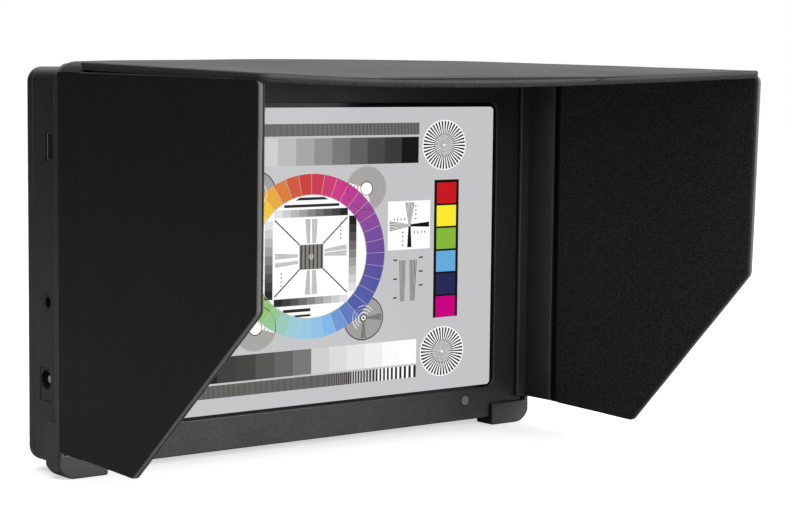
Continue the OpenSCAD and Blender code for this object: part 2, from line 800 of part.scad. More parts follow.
// Outline of a hook seen from the front, out to the given wall
module hook_outline(wall, r) {
    translate([0, mid_z]) rounded_rect(2 * (side_x + hood_gap + wall), monitor_h + 2 * (hood_gap + wall), r);
}

module hook(sx) {
    intersection() {
        along_y(lip_y, front_y + hook_back - lip_y) difference() {
            hook_outline(hook_wall, 6);
            hook_outline(0, 6 - hook_wall / 2);
        }
        block([sx > 0 ? frame_x - hook_l : -frame_x, lip_y, -hood_gap - hook_wall],
            [sx > 0 ? frame_x : -frame_x + hook_l, rear_y, skirt_z + 8]);
    }
    intersection() {
        along_y(lip_y, lip_t) hook_outline(hook_wall, 6);
        block([sx > 0 ? frame_x - hook_l : -frame_x, lip_y - over, -hood_gap - hook_wall],
            [sx > 0 ? frame_x : -frame_x + hook_l, rear_y, hook_rise]);
    }
}

module hood_frame() {
    in_r = frame_r - frame_wall;
    color([0.12, 0.12, 0.13]) {
        along_y(frame_front_y, frame_front + frame_back)
            arch_ring(frame_x, frame_z, frame_r, frame_in_x, frame_in_z, in_r);
        along_y(lip_y, lip_t)
            arch_ring(frame_x, frame_z, frame_r, frame_in_x - lip_w, frame_in_z - lip_w, in_r);
        for (sx = [-1, 1]) hook(sx);
    }
}

// Leather on one side wall of the frame, as far forward as the fold
module side_rim_leather(sx) {
    front = fold_y + seam_gap / 2;
    back = front_y - leather_start;
    low_x = sx > 0 ? frame_x : -skin_x;
    color([0.13, 0.12, 0.12])
        block([low_x, front, skirt_z], [low_x + leather_t, back, frame_z - frame_r - seat_gap]);
}

module left_rim_leather() { side_rim_leather(-1); }
module right_rim_leather() { side_rim_leather(1); }

module top_rim_leather() {
    front = fold_y + seam_gap / 2;
    back = front_y - leather_start;
    color([0.13, 0.12, 0.12]) intersection() {
        along_y(front, back - front)
            arch_ring(skin_x, skin_z, frame_r + leather_t,
                frame_x + seat_gap, frame_z + seat_gap, frame_r + seat_gap);
        block([-skin_x, front, frame_z - frame_r], [skin_x, back, skin_z]);
    }
}

// Outline of a side flap: u is the distance in front of the fold, v the height
module side_outline(start, inset) {
    r = side_corner_r - inset;
    offset(r = r, $fn = 32) offset(delta = -side_corner_r)
        polygon([
            [start, skirt_z + 0.2],
            [side_bottom, side_low_z],
            [side_reach, side_front_z],
            [side_reach, side_tip_z],
            [start, side_root_z],
        ]);
}

// A layer of a side flap between two distances inwards from its outer face
module side_layer(sx, from, to, start, inset) {
    x0 = sx > 0 ? skin_x - to : -skin_x + from;
    translate([x0, fold_y, 0]) rotate([90, 0, 90]) linear_extrude(to - from)
        mirror([1, 0]) side_outline(start, inset);
}

module side_cover(sx) {
    color([0.13, 0.12, 0.12]) difference() {
        union() {
            side_layer(sx, 0, leather_t, flap_start, 0);
            side_layer(sx, 0, leather_t + stiffener_t, stiff_start, 0);
        }
        side_layer(sx, leather_t, leather_t + stiffener_t + over, stiff_start, leather_t);
    }
}

module side_board(sx) {
    color([0.3, 0.28, 0.26])
        side_layer(sx, leather_t, leather_t + stiffener_t, stiff_start, board_inset);
}

module side_lining(sx) {
    color([0.07, 0.07, 0.07]) side_layer(sx, leather_t + stiffener_t, flap_t, stiff_start, 0);
}

module left_flap_cover() { side_cover(-1); }
module right_flap_cover() { side_cover(1); }
module left_flap_board() { side_board(-1); }
module right_flap_board() { side_board(1); }
module left_flap_lining() { side_lining(-1); }
module right_flap_lining() { side_lining(1); }

// Outline of the top flap seen from above, from a distance in front of the fold to its front edge
module top_outline(start, inset) {
    w = skin_x - inset;
    r = top_corner_r - inset;
    tip = top_reach - inset;
    translate([-w, -tip + r]) square([2 * w, tip - r - start]);
    translate([-w + r, -tip]) square([2 * (w - r), tip - start]);
    for (sx = [-1, 1]) translate([sx * (w - r), -tip + r]) circle(r);
}

// A layer of the top flap between two depths below its top face
module top_layer(from, to, start, inset) {
    translate([0, fold_y, skin_z]) rotate([top_slope, 0, 0]) translate([0, 0, -to])
        linear_extrude(to - from) top_outline(start, inset);
}

module top_flap_cover() {
    color([0.13, 0.12, 0.12]) difference() {
        union() {
            top_layer(0, leather_t, flap_start, 0);
            top_layer(0, leather_t + stiffener_t, stiff_start, 0);
        }
        top_layer(leather_t, leather_t + stiffener_t + over, stiff_start + leather_t, leather_t);
    }
}

module top_flap_board() {
    color([0.3, 0.28, 0.26])
        top_layer(leather_t, leather_t + stiffener_t, stiff_start + board_inset, board_inset);
}

module top_flap_lining() {
    color([0.07, 0.07, 0.07]) top_layer(leather_t + stiffener_t, flap_t, stiff_start, 0);
}

front_casing();
rear_cover();
display_glass();
glass_gasket();
lcd_panel();
backlight();
lcd_tray();
display_ribbon();
main_board();
board_chips();
board_standoffs();
board_screws();
tray_screws();
small_video_socket();
headphone_socket();
power_socket();
power_pin();
video_socket();
keypad_board();
keypad_screws();
tact_switches();
status_lamp();
lamp_ring();
lamp_board();
speaker();
tripod_bush();
rear_inserts();
cover_screws();
battery_plate();
battery_contacts();
plate_screws();
latch_spring();
battery_latch();
power_button();
input_button();
menu_button();
down_button();
up_button();
exit_button();
hood_frame();
left_rim_leather();
right_rim_leather();
top_rim_leather();
left_flap_cover();
left_flap_board();
left_flap_lining();
right_flap_cover();
right_flap_board();
right_flap_lining();
top_flap_cover();
top_flap_board();
top_flap_lining();
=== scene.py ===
"""Camera field monitor with a clip-on sun hood, finished over its CAD frame."""

import json
import math

import bmesh
import bpy
from mathutils import Matrix, Vector, noise
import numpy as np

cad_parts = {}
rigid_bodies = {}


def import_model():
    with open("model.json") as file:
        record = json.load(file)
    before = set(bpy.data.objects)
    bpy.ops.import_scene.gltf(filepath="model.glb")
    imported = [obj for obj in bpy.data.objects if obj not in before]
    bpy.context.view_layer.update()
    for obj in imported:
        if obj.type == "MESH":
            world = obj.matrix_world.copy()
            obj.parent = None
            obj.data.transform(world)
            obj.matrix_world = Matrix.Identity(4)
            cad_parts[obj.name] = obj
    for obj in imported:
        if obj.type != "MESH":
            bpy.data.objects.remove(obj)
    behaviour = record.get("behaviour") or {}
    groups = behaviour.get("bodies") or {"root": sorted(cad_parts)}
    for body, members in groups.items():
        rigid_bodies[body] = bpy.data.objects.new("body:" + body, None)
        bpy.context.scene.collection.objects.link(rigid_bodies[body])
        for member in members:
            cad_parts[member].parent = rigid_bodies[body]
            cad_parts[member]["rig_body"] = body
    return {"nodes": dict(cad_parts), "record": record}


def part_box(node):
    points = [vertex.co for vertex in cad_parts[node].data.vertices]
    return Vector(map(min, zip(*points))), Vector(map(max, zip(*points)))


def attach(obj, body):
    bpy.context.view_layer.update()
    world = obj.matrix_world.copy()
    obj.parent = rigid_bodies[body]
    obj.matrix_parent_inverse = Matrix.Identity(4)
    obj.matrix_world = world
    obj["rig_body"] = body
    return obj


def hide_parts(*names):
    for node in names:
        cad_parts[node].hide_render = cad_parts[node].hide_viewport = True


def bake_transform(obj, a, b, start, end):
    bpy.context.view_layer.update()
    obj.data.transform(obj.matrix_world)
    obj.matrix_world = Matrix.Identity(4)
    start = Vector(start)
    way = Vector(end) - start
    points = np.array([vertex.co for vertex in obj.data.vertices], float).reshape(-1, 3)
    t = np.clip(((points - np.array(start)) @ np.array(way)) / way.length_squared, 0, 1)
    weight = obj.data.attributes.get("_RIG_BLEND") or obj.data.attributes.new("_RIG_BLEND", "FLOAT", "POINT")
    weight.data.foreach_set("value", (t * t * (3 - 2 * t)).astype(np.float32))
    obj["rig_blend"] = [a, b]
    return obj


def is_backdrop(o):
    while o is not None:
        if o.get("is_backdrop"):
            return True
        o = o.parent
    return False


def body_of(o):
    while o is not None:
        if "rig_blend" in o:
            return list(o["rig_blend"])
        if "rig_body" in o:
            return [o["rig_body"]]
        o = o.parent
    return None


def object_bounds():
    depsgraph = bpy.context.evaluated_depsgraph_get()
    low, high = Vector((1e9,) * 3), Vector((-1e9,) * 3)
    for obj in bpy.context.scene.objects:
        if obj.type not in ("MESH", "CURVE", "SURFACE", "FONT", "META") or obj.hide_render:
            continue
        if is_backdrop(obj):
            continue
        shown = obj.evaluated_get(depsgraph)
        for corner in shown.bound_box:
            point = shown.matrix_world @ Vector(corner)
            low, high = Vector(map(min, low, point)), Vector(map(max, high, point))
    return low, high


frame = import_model()

bl_info = {
    "name": "Field monitor with sun hood",
    "version": (1, 0, 0),
    "blender": (4, 5, 0),
    "location": "3D View > Sidebar > Monitor",
    "description": "Builds the finished look of the field monitor over its CAD frame",
    "category": "Object",
}

MM = 0.001


# Sizes and colours that a user can change


def length(name, description, default):
    """A length property, in metres."""
    return bpy.props.FloatProperty(
        name=name, description=description, default=default, unit="LENGTH", precision=5
    )


def tint(name, description, default):
    """A colour property, in linear values."""
    return bpy.props.FloatVectorProperty(
        name=name, description=description, default=default, subtype="COLOR", size=3, min=0, max=1
    )


class MonitorSizes(bpy.types.PropertyGroup):
    """Sizes that the operators read."""

    outline_soft: length("Outline softening", "Radius of the casing's and hood's long edges", 0.00035)
    detail_soft: length("Detail softening", "Radius of the edges of small features", 0.00012)
    picture_w: length("Picture width", "Width of the lit picture", 0.1508)
    picture_h: length("Picture height", "Height of the lit picture", 0.0944)
    picture_layer: length("Picture layer", "Step between the picture's figures", 0.000012)
    leather_t: length("Leather thickness", "Thickness of the leather alone", 0.0006)
    board_t: length("Board thickness", "Thickness of the stiff board in a flap", 0.0009)
    lining_t: length("Lining thickness", "Thickness of the knitted lining", 0.0007)
    strip_back: length("Rim strip depth", "How far the leather runs back over the hood's rim", 0.0127)
    flap_start: length("Flap start", "Distance from the fold to a flap's free edge", 0.00015)
    stiff_start: length("Stiff start", "Distance from the fold to a flap's board", 0.00165)
    side_bottom: length("Side flap's lower edge", "Length of a side flap's lower edge", 0.0315)
    side_front_z: length("Side flap's low front", "Height where the front edge starts", 0.0568)
    side_tip_z: length("Side flap's front tip", "Height of the front edge's top", 0.11516)
    side_rear_z: length("Side flap's rear corner", "Height of the lower rear corner", 0.0064)
    side_corner: length("Side flap corners", "Corner radius of a side flap", 0.0025)
    top_corner: length("Top flap corners", "Radius of the top flap's front corners", 0.003)
    frame_r: length("Hood rim corner", "Outer corner radius of the hood's rim", 0.005)
    rib_pitch: length("Rib pitch", "Distance between the lining's ribs", 0.0007)
    rib_height: length("Rib height", "Height of the lining's ribs", 0.00005)
    top_reach: length("Top flap's reach", "Distance from the fold to the top flap's front edge", 0.0908)
    side_reach: length("Side flaps' reach", "Distance from the fold to a side flap's front edge", 0.0891)
    fibre_length: length("Fibre length", "Length of the loose fibres at the lining's edge", 0.00045)
    fibre_radius: length("Fibre radius", "Radius of a loose fibre", 0.000018)


class MonitorColours(bpy.types.PropertyGroup):
    """Colours that the materials use."""

    casing: tint("Casing", "Charcoal plastic", (0.020, 0.020, 0.0215))
    hood: tint("Hood rim", "Hood's plastic", (0.030, 0.030, 0.031))
    leather: tint("Leather", "Smooth black leather", (0.0115, 0.0107, 0.0109))
    lining: tint("Lining", "Ribbed knit", (0.0205, 0.0198, 0.0205))
    button: tint("Buttons", "Push buttons on the top edge", (0.030, 0.030, 0.032))
    floor: tint("Floor", "Studio floor", (0.90, 0.90, 0.90))


def sizes():
    """This scene's sizes."""
    return bpy.context.scene.monitor_sizes


def colours():
    """This scene's colours."""
    return bpy.context.scene.monitor_colours


# Materials

# Light grey for the leather's wrapped edges: partly worn leather, partly a painted highlight where the edges
# catch the light.
WORN_AND_LIT_EDGE = (0.13, 0.127, 0.125)

# Sockets of a mix node that mixes two colours
MIX_FIRST = 6
MIX_SECOND = 7
MIX_OUT = 2


def surface(name, colour, roughness, metallic=0.0, **sockets):
    """A plain shader material, with its values set on the shader's own sockets."""
    material = bpy.data.materials.new(name)
    material.use_nodes = True
    shader = material.node_tree.nodes["Principled BSDF"]
    shader.inputs["Base Color"].default_value = (*colour, 1)
    shader.inputs["Roughness"].default_value = roughness
    shader.inputs["Metallic"].default_value = metallic
    for socket, value in sockets.items():
        shader.inputs[socket.replace("_", " ")].default_value = value
    return material


def texture(material, kind, scale, stretch=(1, 1, 1), **values):
    """A texture node that reads the object's own coordinates."""
    nodes = material.node_tree.nodes
    links = material.node_tree.links
    where = nodes.new("ShaderNodeTexCoord")
    mapping = nodes.new("ShaderNodeMapping")
    mapping.inputs["Scale"].default_value = [scale * s for s in stretch]
    links.new(where.outputs["Object"], mapping.inputs["Vector"])
    node = nodes.new(kind)
    node.inputs["Scale"].default_value = 1
    for socket, value in values.items():
        node.inputs[socket].default_value = value
    links.new(mapping.outputs["Vector"], node.inputs["Vector"])
    return node


def grain(material, node, output, distance, strength):
    """Raises the surface by a texture, on top of what already bends the normal."""
    tree = material.node_tree
    shader = tree.nodes["Principled BSDF"]
    bump = tree.nodes.new("ShaderNodeBump")
    bump.inputs["Distance"].default_value = distance
    bump.inputs["Strength"].default_value = strength
    tree.links.new(node.outputs[output], bump.inputs["Height"])
    if shader.inputs["Normal"].is_linked:
        tree.links.new(shader.inputs["Normal"].links[0].from_socket, bump.inputs["Normal"])
    tree.links.new(bump.outputs["Normal"], shader.inputs["Normal"])


def vary(material, node, output, socket, low, high, start=0.3, end=0.7):
    """Lets a texture drive one of the shader's sockets between two values or two colours."""
    tree = material.node_tree
    shader = tree.nodes["Principled BSDF"]
    ramp = tree.nodes.new("ShaderNodeValToRGB")
    ramp.color_ramp.elements[0].position = start
    ramp.color_ramp.elements[1].position = end
    for element, value in zip(ramp.color_ramp.elements, (low, high)):
        element.color = (*value, 1) if hasattr(value, "__len__") else (value, value, value, 1)
    tree.links.new(node.outputs[output], ramp.inputs["Fac"])
    tree.links.new(ramp.outputs["Color"], shader.inputs[socket])


def moulded(name, colour, roughness, speckle=0.35):
    """Fine-textured moulded plastic."""
    material = surface(name, colour, roughness, Specular_IOR_Level=0.5)
    fine = texture(material, "ShaderNodeTexNoise", 3800, Detail=2.0)
    grain(material, fine, "Fac", 0.00002, speckle)
    tone = texture(material, "ShaderNodeTexNoise", 2600, Detail=1.0)
    bright = [c * 1.7 + 0.004 for c in colour]
    dark = [c * 0.72 for c in colour]
    vary(material, tone, "Fac", "Base Color", dark, bright, 0.38, 0.72)
    wear_and_sheen = texture(material, "ShaderNodeTexNoise", 60, Detail=2.0)
    vary(material, wear_and_sheen, "Fac", "Roughness", roughness - 0.05, roughness + 0.06)
    return material


def leather_finish():
    """Smooth black leather with a fine pebbled grain, and edges painted light grey, partly as wear and
    partly as a painted highlight.
    """
    colour = colours().leather
    material = surface("leather", colour, 0.46, Specular_IOR_Level=0.16)
    pebble = texture(material, "ShaderNodeTexVoronoi", 1500, Randomness=0.9)
    grain(material, pebble, "Distance", 0.00003, 0.50)
    crease = texture(material, "ShaderNodeTexNoise", 420, Detail=3.0)
    grain(material, crease, "Fac", 0.00006, 0.22)
    broad = texture(material, "ShaderNodeTexNoise", 45, Detail=3.0)
    vary(material, broad, "Fac", "Roughness", 0.45, 0.50)
    tone = texture(material, "ShaderNodeTexNoise", 900, Detail=2.0)
    vary(material, tone, "Fac", "Base Color", [c * 0.75 for c in colour], [c * 1.5 for c in colour])
    tree = material.node_tree
    base = tree.nodes["Principled BSDF"].inputs["Base Color"]
    # Light grey at the wrapped edges, read from the mesh's attribute: partly wear, partly painted highlight.
    wear_and_sheen = tree.nodes.new("ShaderNodeAttribute")
    wear_and_sheen.attribute_name = "wear_and_sheen"
    mix = tree.nodes.new("ShaderNodeMix")
    mix.data_type = "RGBA"
    tree.links.new(wear_and_sheen.outputs["Fac"], mix.inputs[0])
    tree.links.new(base.links[0].from_socket, mix.inputs[MIX_FIRST])
    mix.inputs[MIX_SECOND].default_value = (*WORN_AND_LIT_EDGE, 1)
    tree.links.new(mix.outputs[MIX_OUT], base)
    return material


def lining_finish():
    """Black ribbed knit with a velvety nap."""
    colour = colours().lining
    material = surface("lining", colour, 0.9, Specular_IOR_Level=0.08, Sheen_Weight=0.16)
    shader = material.node_tree.nodes["Principled BSDF"]
    shader.inputs["Sheen Roughness"].default_value = 0.45
    shader.inputs["Sheen Tint"].default_value = (0.5, 0.5, 0.52, 1)
    streak = texture(material, "ShaderNodeTexNoise", 2700, (0.5, 0.5, 1.3), Detail=2.0)
    vary(material, streak, "Fac", "Base Color", [c * 0.40 for c in colour], [c * 2.7 for c in colour])
    yarn = texture(material, "ShaderNodeTexNoise", 1400, (1, 0.5, 1), Detail=3.0)
    grain(material, yarn, "Fac", 0.00012, 0.7)
    return material


def picture_finish():
    """Lit picture that takes its colours from the mesh, under a glossy cover."""
    material = surface("picture", (0, 0, 0), 0.12, Specular_IOR_Level=0.25)
    tree = material.node_tree
    shader = tree.nodes["Principled BSDF"]
    stored = tree.nodes.new("ShaderNodeVertexColor")
    stored.layer_name = "tint"
    tree.links.new(stored.outputs["Color"], shader.inputs["Emission Color"])
    shader.inputs["Emission Strength"].default_value = 1.0
    return material


def brushed(name, colour, roughness):
    """Metal with fine drawn lines."""
    material = surface(name, colour, roughness, 1.0)
    lines = texture(material, "ShaderNodeTexNoise", 900, (1, 1, 0.06), Detail=2.0)
    grain(material, lines, "Fac", 0.00001, 0.25)
    vary(material, lines, "Fac", "Roughness", roughness - 0.08, roughness + 0.1)
    return material


def printed_board():
    """Green solder mask with faint tracks."""
    material = surface("board", (0.01, 0.08, 0.03), 0.4)
    tracks = texture(material, "ShaderNodeTexVoronoi", 260, Randomness=0.4)
    vary(material, tracks, "Distance", "Base Color", (0.006, 0.05, 0.02), (0.012, 0.10, 0.035))
    return material


def make_finish(slot):
    """The material of one of the record's slots."""
    palette = colours()
    makers = {
        "casing": lambda: moulded("casing", palette.casing, 0.42),
        "hood_plastic": lambda: moulded("hood_plastic", palette.hood, 0.40),
        "plate": lambda: moulded("plate", (0.018, 0.018, 0.019), 0.45),
        "latch": lambda: moulded("latch", (0.03, 0.03, 0.032), 0.42, 0.2),
        "speaker": lambda: moulded("speaker", (0.02, 0.02, 0.02), 0.6),
        "button": lambda: moulded("button", palette.button, 0.36, 0.15),
        "socket_plastic": lambda: moulded("socket_plastic", (0.010, 0.010, 0.011), 0.38, 0.15),
        "lamp_ring": lambda: moulded("lamp_ring", (0.012, 0.012, 0.013), 0.40, 0.1),
        "chips": lambda: moulded("chips", (0.02, 0.02, 0.02), 0.5),
        "leather": leather_finish,
        "lining": lining_finish,
        "fibre": lambda: surface("fibre", (0.09, 0.088, 0.088), 0.8, Specular_IOR_Level=0.1),
        "board": printed_board,
        "sheet_metal": lambda: brushed("sheet_metal", (0.55, 0.56, 0.58), 0.36),
        "socket_metal": lambda: brushed("socket_metal", (0.30, 0.29, 0.28), 0.38),
        "screw": lambda: brushed("screw", (0.5, 0.5, 0.52), 0.32),
        "switch": lambda: brushed("switch", (0.5, 0.5, 0.5), 0.35),
        "spring": lambda: brushed("spring", (0.6, 0.6, 0.6), 0.28),
        "brass": lambda: brushed("brass", (0.72, 0.53, 0.25), 0.3),
        "contact": lambda: surface("contact", (0.85, 0.63, 0.27), 0.22, 1.0),
        "pin": lambda: surface("pin", (0.55, 0.54, 0.52), 0.3, 1.0),
        "black_screw": lambda: surface("black_screw", (0.03, 0.03, 0.032), 0.35, 0.6),
        "cover_glass": lambda: surface("cover_glass", (0.006, 0.006, 0.007), 0.10),
        "gasket": lambda: surface("gasket", (0.01, 0.01, 0.01), 0.9),
        "display": picture_finish,
        "panel": lambda: surface("panel", (0.03, 0.03, 0.035), 0.3),
        "backlight": lambda: surface("backlight", (0.85, 0.85, 0.85), 0.6),
        "ribbon": lambda: surface("ribbon", (0.45, 0.22, 0.05), 0.35),
        "lamp": lambda: surface("lamp", (0.14, 0.14, 0.14), 0.25, Coat_Weight=0.5),
        "stiffener": lambda: moulded("stiffener", (0.2, 0.17, 0.13), 0.8),
    }
    return makers[slot]()


def finish_of(slot):
    """The slot's material, made the first time that it's asked for."""
    name = "monitor_" + slot
    found = bpy.data.materials.get(name)
    if found is None:
        found = make_finish(slot)
        found.name = name
    return found


def slot_of(node):
    """The record's material slot of a CAD node."""
    for part in frame["record"]["subparts"]:
        if part["node"] == node:
            return part["material_slot"]
    raise RuntimeError(f"the record has no node {node}")


# Pieces from meshes


def piece(name, mesh, slot):
    """An object at the origin, in the scene, with its slot's material."""
    obj = bpy.data.objects.new(name, mesh)
    bpy.context.scene.collection.objects.link(obj)
    obj.data.materials.clear()
    obj.data.materials.append(finish_of(slot))
    return obj


def mesh_data(name, bm):
    """Mesh data from an edited mesh, which it uses up."""
    mesh = bpy.data.meshes.new(name)
    bm.to_mesh(mesh)
    bm.free()
    return mesh


def mesh_from(name, bm, crease):
    """Mesh data that is smooth except at edges sharper than crease, in degrees."""
    bmesh.ops.recalc_face_normals(bm, faces=bm.faces)
    for face in bm.faces:
        face.smooth = True
    for edge in bm.edges:
        edge.smooth = edge.calc_face_angle(0) < math.radians(crease)
    return mesh_data(name, bm)


def baked(obj):
    """Makes an object's modifiers part of its mesh."""
    graph = bpy.context.evaluated_depsgraph_get()
    mesh = bpy.data.meshes.new_from_object(obj.evaluated_get(graph), depsgraph=graph)
    obj.modifiers.clear()
    obj.data = mesh
    return obj


# Softened copies of CAD nodes

SHARP_FROM = 38  # degrees between the two faces of an edge that is rounded
LONG_FROM = 0.012  # longest side of an outline that takes the larger radius
NEARLY_FLAT = 0.6  # degrees between faces that become one
WELD = 1e-6
FINE_WELD = 1e-7
VOLUME_KEPT = (0.93, 1.02)  # shares of the node's volume that rounding may leave
SOFT_CREASE = 35

def edge_groups(edges):
    """Edges that touch one another, as separate groups."""
    left = set(edges)
    while left:
        group = set()
        queue = [left.pop()]
        while queue:
            edge = queue.pop()
            group.add(edge)
            for vert in edge.verts:
                for other in vert.link_edges:
                    if other in left:
                        left.remove(other)
                        queue.append(other)
        yield group


def reach(edges):
    """Longest side of the box round some edges."""
    points = [v.co for e in edges for v in e.verts]
    return max(max(p[i] for p in points) - min(p[i] for p in points) for i in range(3))


def soften(bm, large, small):
    """Rounds the convex edges: long outlines by one radius, small features by another."""
    for radius, is_long in ((large, True), (small, False)):
        sharp = [
            e for e in bm.edges
            if e.is_manifold and e.is_convex and e.calc_face_angle(0) > math.radians(SHARP_FROM)
        ]
        groups = [group for group in edge_groups(sharp) if (reach(group) >= LONG_FROM) == is_long]
        chosen = [e for group in groups for e in group]
        if radius > 0 and chosen:
            bmesh.ops.bevel(
                bm, geom=chosen, offset=radius, offset_type="OFFSET", segments=3,
                profile=0.5, affect="EDGES", clamp_overlap=False,
            )


def softened(node, large, small):
    """A finer copy of a CAD node with rounded edges, which stands for the node."""
    source = frame["nodes"][node]
    home = body_of(source)
    home = home if isinstance(home, str) else home[0]
    bm = bmesh.new()
    bm.from_mesh(source.data)
    bmesh.ops.remove_doubles(bm, verts=bm.verts, dist=WELD)
    bmesh.ops.dissolve_limit(
        bm, angle_limit=math.radians(NEARLY_FLAT), verts=bm.verts, edges=bm.edges
    )
    before = abs(bm.calc_volume())
    plain = bm.copy()
    soften(bm, large, small)
    bmesh.ops.remove_doubles(bm, verts=bm.verts, dist=FINE_WELD)
    after = abs(bm.calc_volume())
    open_edges = sum(not e.is_manifold for e in bm.edges)
    least, most = (share * before for share in VOLUME_KEPT)
    if open_edges or not least < after < most:
        print("left sharp:", node, before, after, open_edges)
        bm.free()
        bm = plain
    else:
        plain.free()
    obj = piece(node + "_soft", mesh_from(node, bm, SOFT_CREASE), slot_of(node))
    even = obj.modifiers.new("Even shading", "WEIGHTED_NORMAL")
    even.keep_sharp = True
    baked(obj)
    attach(obj, home)
    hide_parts(node)
    return obj


# How the photographed hood differs from the plain one, in millimetres

TOP_AT_FOLD = (
    (-92, -1.5), (-86, -1.2), (-78, -0.83), (-61, -0.6), (-44, -0.34), (-26, 0.1), (2, 0.3), (52, 0.27),
    (74, -0.07), (92, -0.4),
)
TOP_AT_FRONT = (
    (-92, -0.3), (-72, -1.25), (-49, -1.7), (-15, -1.7), (7, -1.3), (30, -0.6), (63, 0.4), (86, 1.3),
    (92, 1.4),
)
SIDE_FRONT = {
    -1: ((4.9, 28.3), (56.8, 88.6), (117, 89.1)),
    1: ((4.9, 38.1), (56.8, 87.1), (117, 88.7)),
}
SIDE_PLAIN = ((4.9, 31.5), (56.8, 89.1), (117, 89.1))
SIDE_TOP = {-1: (-1.54, 0.5), 1: (-0.7, 2.2)}
SIDE_RISE_FROM = 70
SIDE_RISE_OVER = 45
CORNER_PULL = 2.3
PULL_FROM = 30
PULL_OVER = 62
SMOOTHED_OVER = (-8, -4, 0, 4, 8)
CORNER_BLEND = 3


def share(value):
    """A value kept between 0 and 1."""
    return min(1, max(0, value))


def between(table, place):
    """Height at a place on a line through (place, height) points."""
    for (a, low), (b, high) in zip(table, table[1:]):
        if place <= b:
            return low + (high - low) * max(0, place - a) / (b - a)
    return table[-1][1]


def top_change(x, forward):
    """Shift of the top sheet sideways and up; forward goes from 0 at the fold to 1 at the front."""
    t = share(forward)
    up = 0
    for shift in SMOOTHED_OVER:
        place = x / MM + shift
        height = between(TOP_AT_FOLD, place) * (1 - t) + between(TOP_AT_FRONT, place) * t
        up += height / len(SMOOTHED_OVER)
    side = -CORNER_PULL * t * share((x / MM - PULL_FROM) / PULL_OVER)
    return side * MM, up * MM


def side_change(sign, z, u):
    """Shift of a side flap up and away from the fold."""
    forward = share(u / sizes().side_reach)
    at_fold, at_front = SIDE_TOP[sign]
    height = at_fold * (1 - forward) + at_front * forward
    up = height * share((z / MM - SIDE_RISE_FROM) / SIDE_RISE_OVER)
    ratio = between(SIDE_FRONT[sign], z / MM) / between(SIDE_PLAIN, z / MM)
    return up * MM, max(0, u) * (ratio - 1)


def corner_share(z):
    """How much of the top's change is left at a height in the rim's rounded corner."""
    start = fold()[2] - sizes().leather_t - sizes().frame_r
    return share((z - start) / (CORNER_BLEND * MM))


def lower_frame(obj):
    """Brings the rim's outer face down with the leather on it, and leaves its inner face."""
    skin_x, _, skin_z = fold()
    outer_skin = 0.9 * MM
    r = sizes().frame_r
    centre_x = skin_x - sizes().leather_t - r
    centre_z = skin_z - sizes().leather_t - r
    for vert in obj.data.vertices:
        out = math.hypot(max(0, abs(vert.co.x) - centre_x), max(0, vert.co.z - centre_z))
        if vert.co.z > centre_z and out > r - outer_skin:
            vert.co.z += top_change(vert.co.x, 0)[1] * corner_share(vert.co.z)


def bent(name, change):
    """A copy of a flap's board, bent as its leather is, which stands for the board."""
    node = name + "_flap_board"
    thickest = 10 * MM
    bm = bmesh.new()
    bm.from_mesh(frame["nodes"][node].data)
    bmesh.ops.remove_doubles(bm, verts=bm.verts, dist=WELD)
    low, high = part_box(node)
    for axis in range(3):
        if high[axis] - low[axis] > thickest:
            cut(bm, axis, spread(low[axis], high[axis], SHEET_STEP))
    bmesh.ops.triangulate(bm, faces=[f for f in bm.faces if len(f.verts) > 4])
    for vert in bm.verts:
        vert.co += change(vert.co)
    obj = piece(node + "_bent", mesh_from(node + "_bent", bm, SOFT_CREASE), slot_of(node))
    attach(obj, name + "_flap")
    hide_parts(node)


# Flat sheets with rounded edges

SHEET_STEP = 4 * MM  # between the lines that let a sheet bend
ARC_STEPS = 10
SMALL_ARC_STEPS = 4
SHARPEST = 0.4  # keeps the inward steps short at a sharp corner
OUTER_WRAP = 0.65 * MM
INNER_WRAP = 0.4 * MM
FOLD_LINES = (-1.6, -1.2, -0.8, -0.4, 0, 0.4, 0.8, 1.2, 1.65)  # millimetres in front of the fold

# Where the leather's edge is painted light grey, partly as wear and partly as a painted highlight: how far
# in from its edge, and how far in front of the fold
WORN_AND_LIT_BAND = 0.3 * MM
WORN_AND_LIT_FROM = 3 * MM

# Heights of the waves and of the fold's groove, and how far the edges wander
WAVE = 0.05 * MM
WANDER_ACROSS = 0.09 * MM
WANDER_ALONG = 0.08 * MM
GROOVE = 0.035 * MM
GROOVE_WIDTH = 1.1 * MM

def rounded(corners, step):
    """Points of a closed outline from (x, y, radius) corners that go anticlockwise."""
    points = []
    count = len(corners)
    for i, (x, y, radius) in enumerate(corners):
        here = Vector((x, y))
        back = (Vector(corners[i - 1][:2]) - here).normalized()
        ahead = (Vector(corners[(i + 1) % count][:2]) - here).normalized()
        half = back.angle(ahead) / 2
        if radius <= 0:
            points.append(here)
            continue
        away = radius / math.tan(half)
        centre = here + (back + ahead).normalized() * (radius / math.sin(half))
        first = here + back * away - centre
        last = here + ahead * away - centre
        turn = math.atan2(first.x * last.y - first.y * last.x, first.dot(last))
        steps = ARC_STEPS if radius > MM else SMALL_ARC_STEPS
        for k in range(steps + 1):
            points.append(centre + Matrix.Rotation(turn * k / steps, 2) @ first)
    loop = []
    for i, point in enumerate(points):
        after = points[(i + 1) % len(points)]
        parts = max(1, math.ceil((after - point).length / step))
        loop.extend(point.lerp(after, k / parts) for k in range(parts))
    return loop


def inward(loop):
    """Inward directions of an anticlockwise outline, scaled so that its sides move evenly."""
    normals = []
    for i, point in enumerate(loop):
        a = (point - loop[i - 1]).normalized()
        b = (loop[(i + 1) % len(loop)] - point).normalized()
        middle = (a + b).normalized()
        normal = Vector((-middle.y, middle.x))
        normals.append(normal / max(SHARPEST, normal.dot(Vector((-a.y, a.x)))))
    return normals


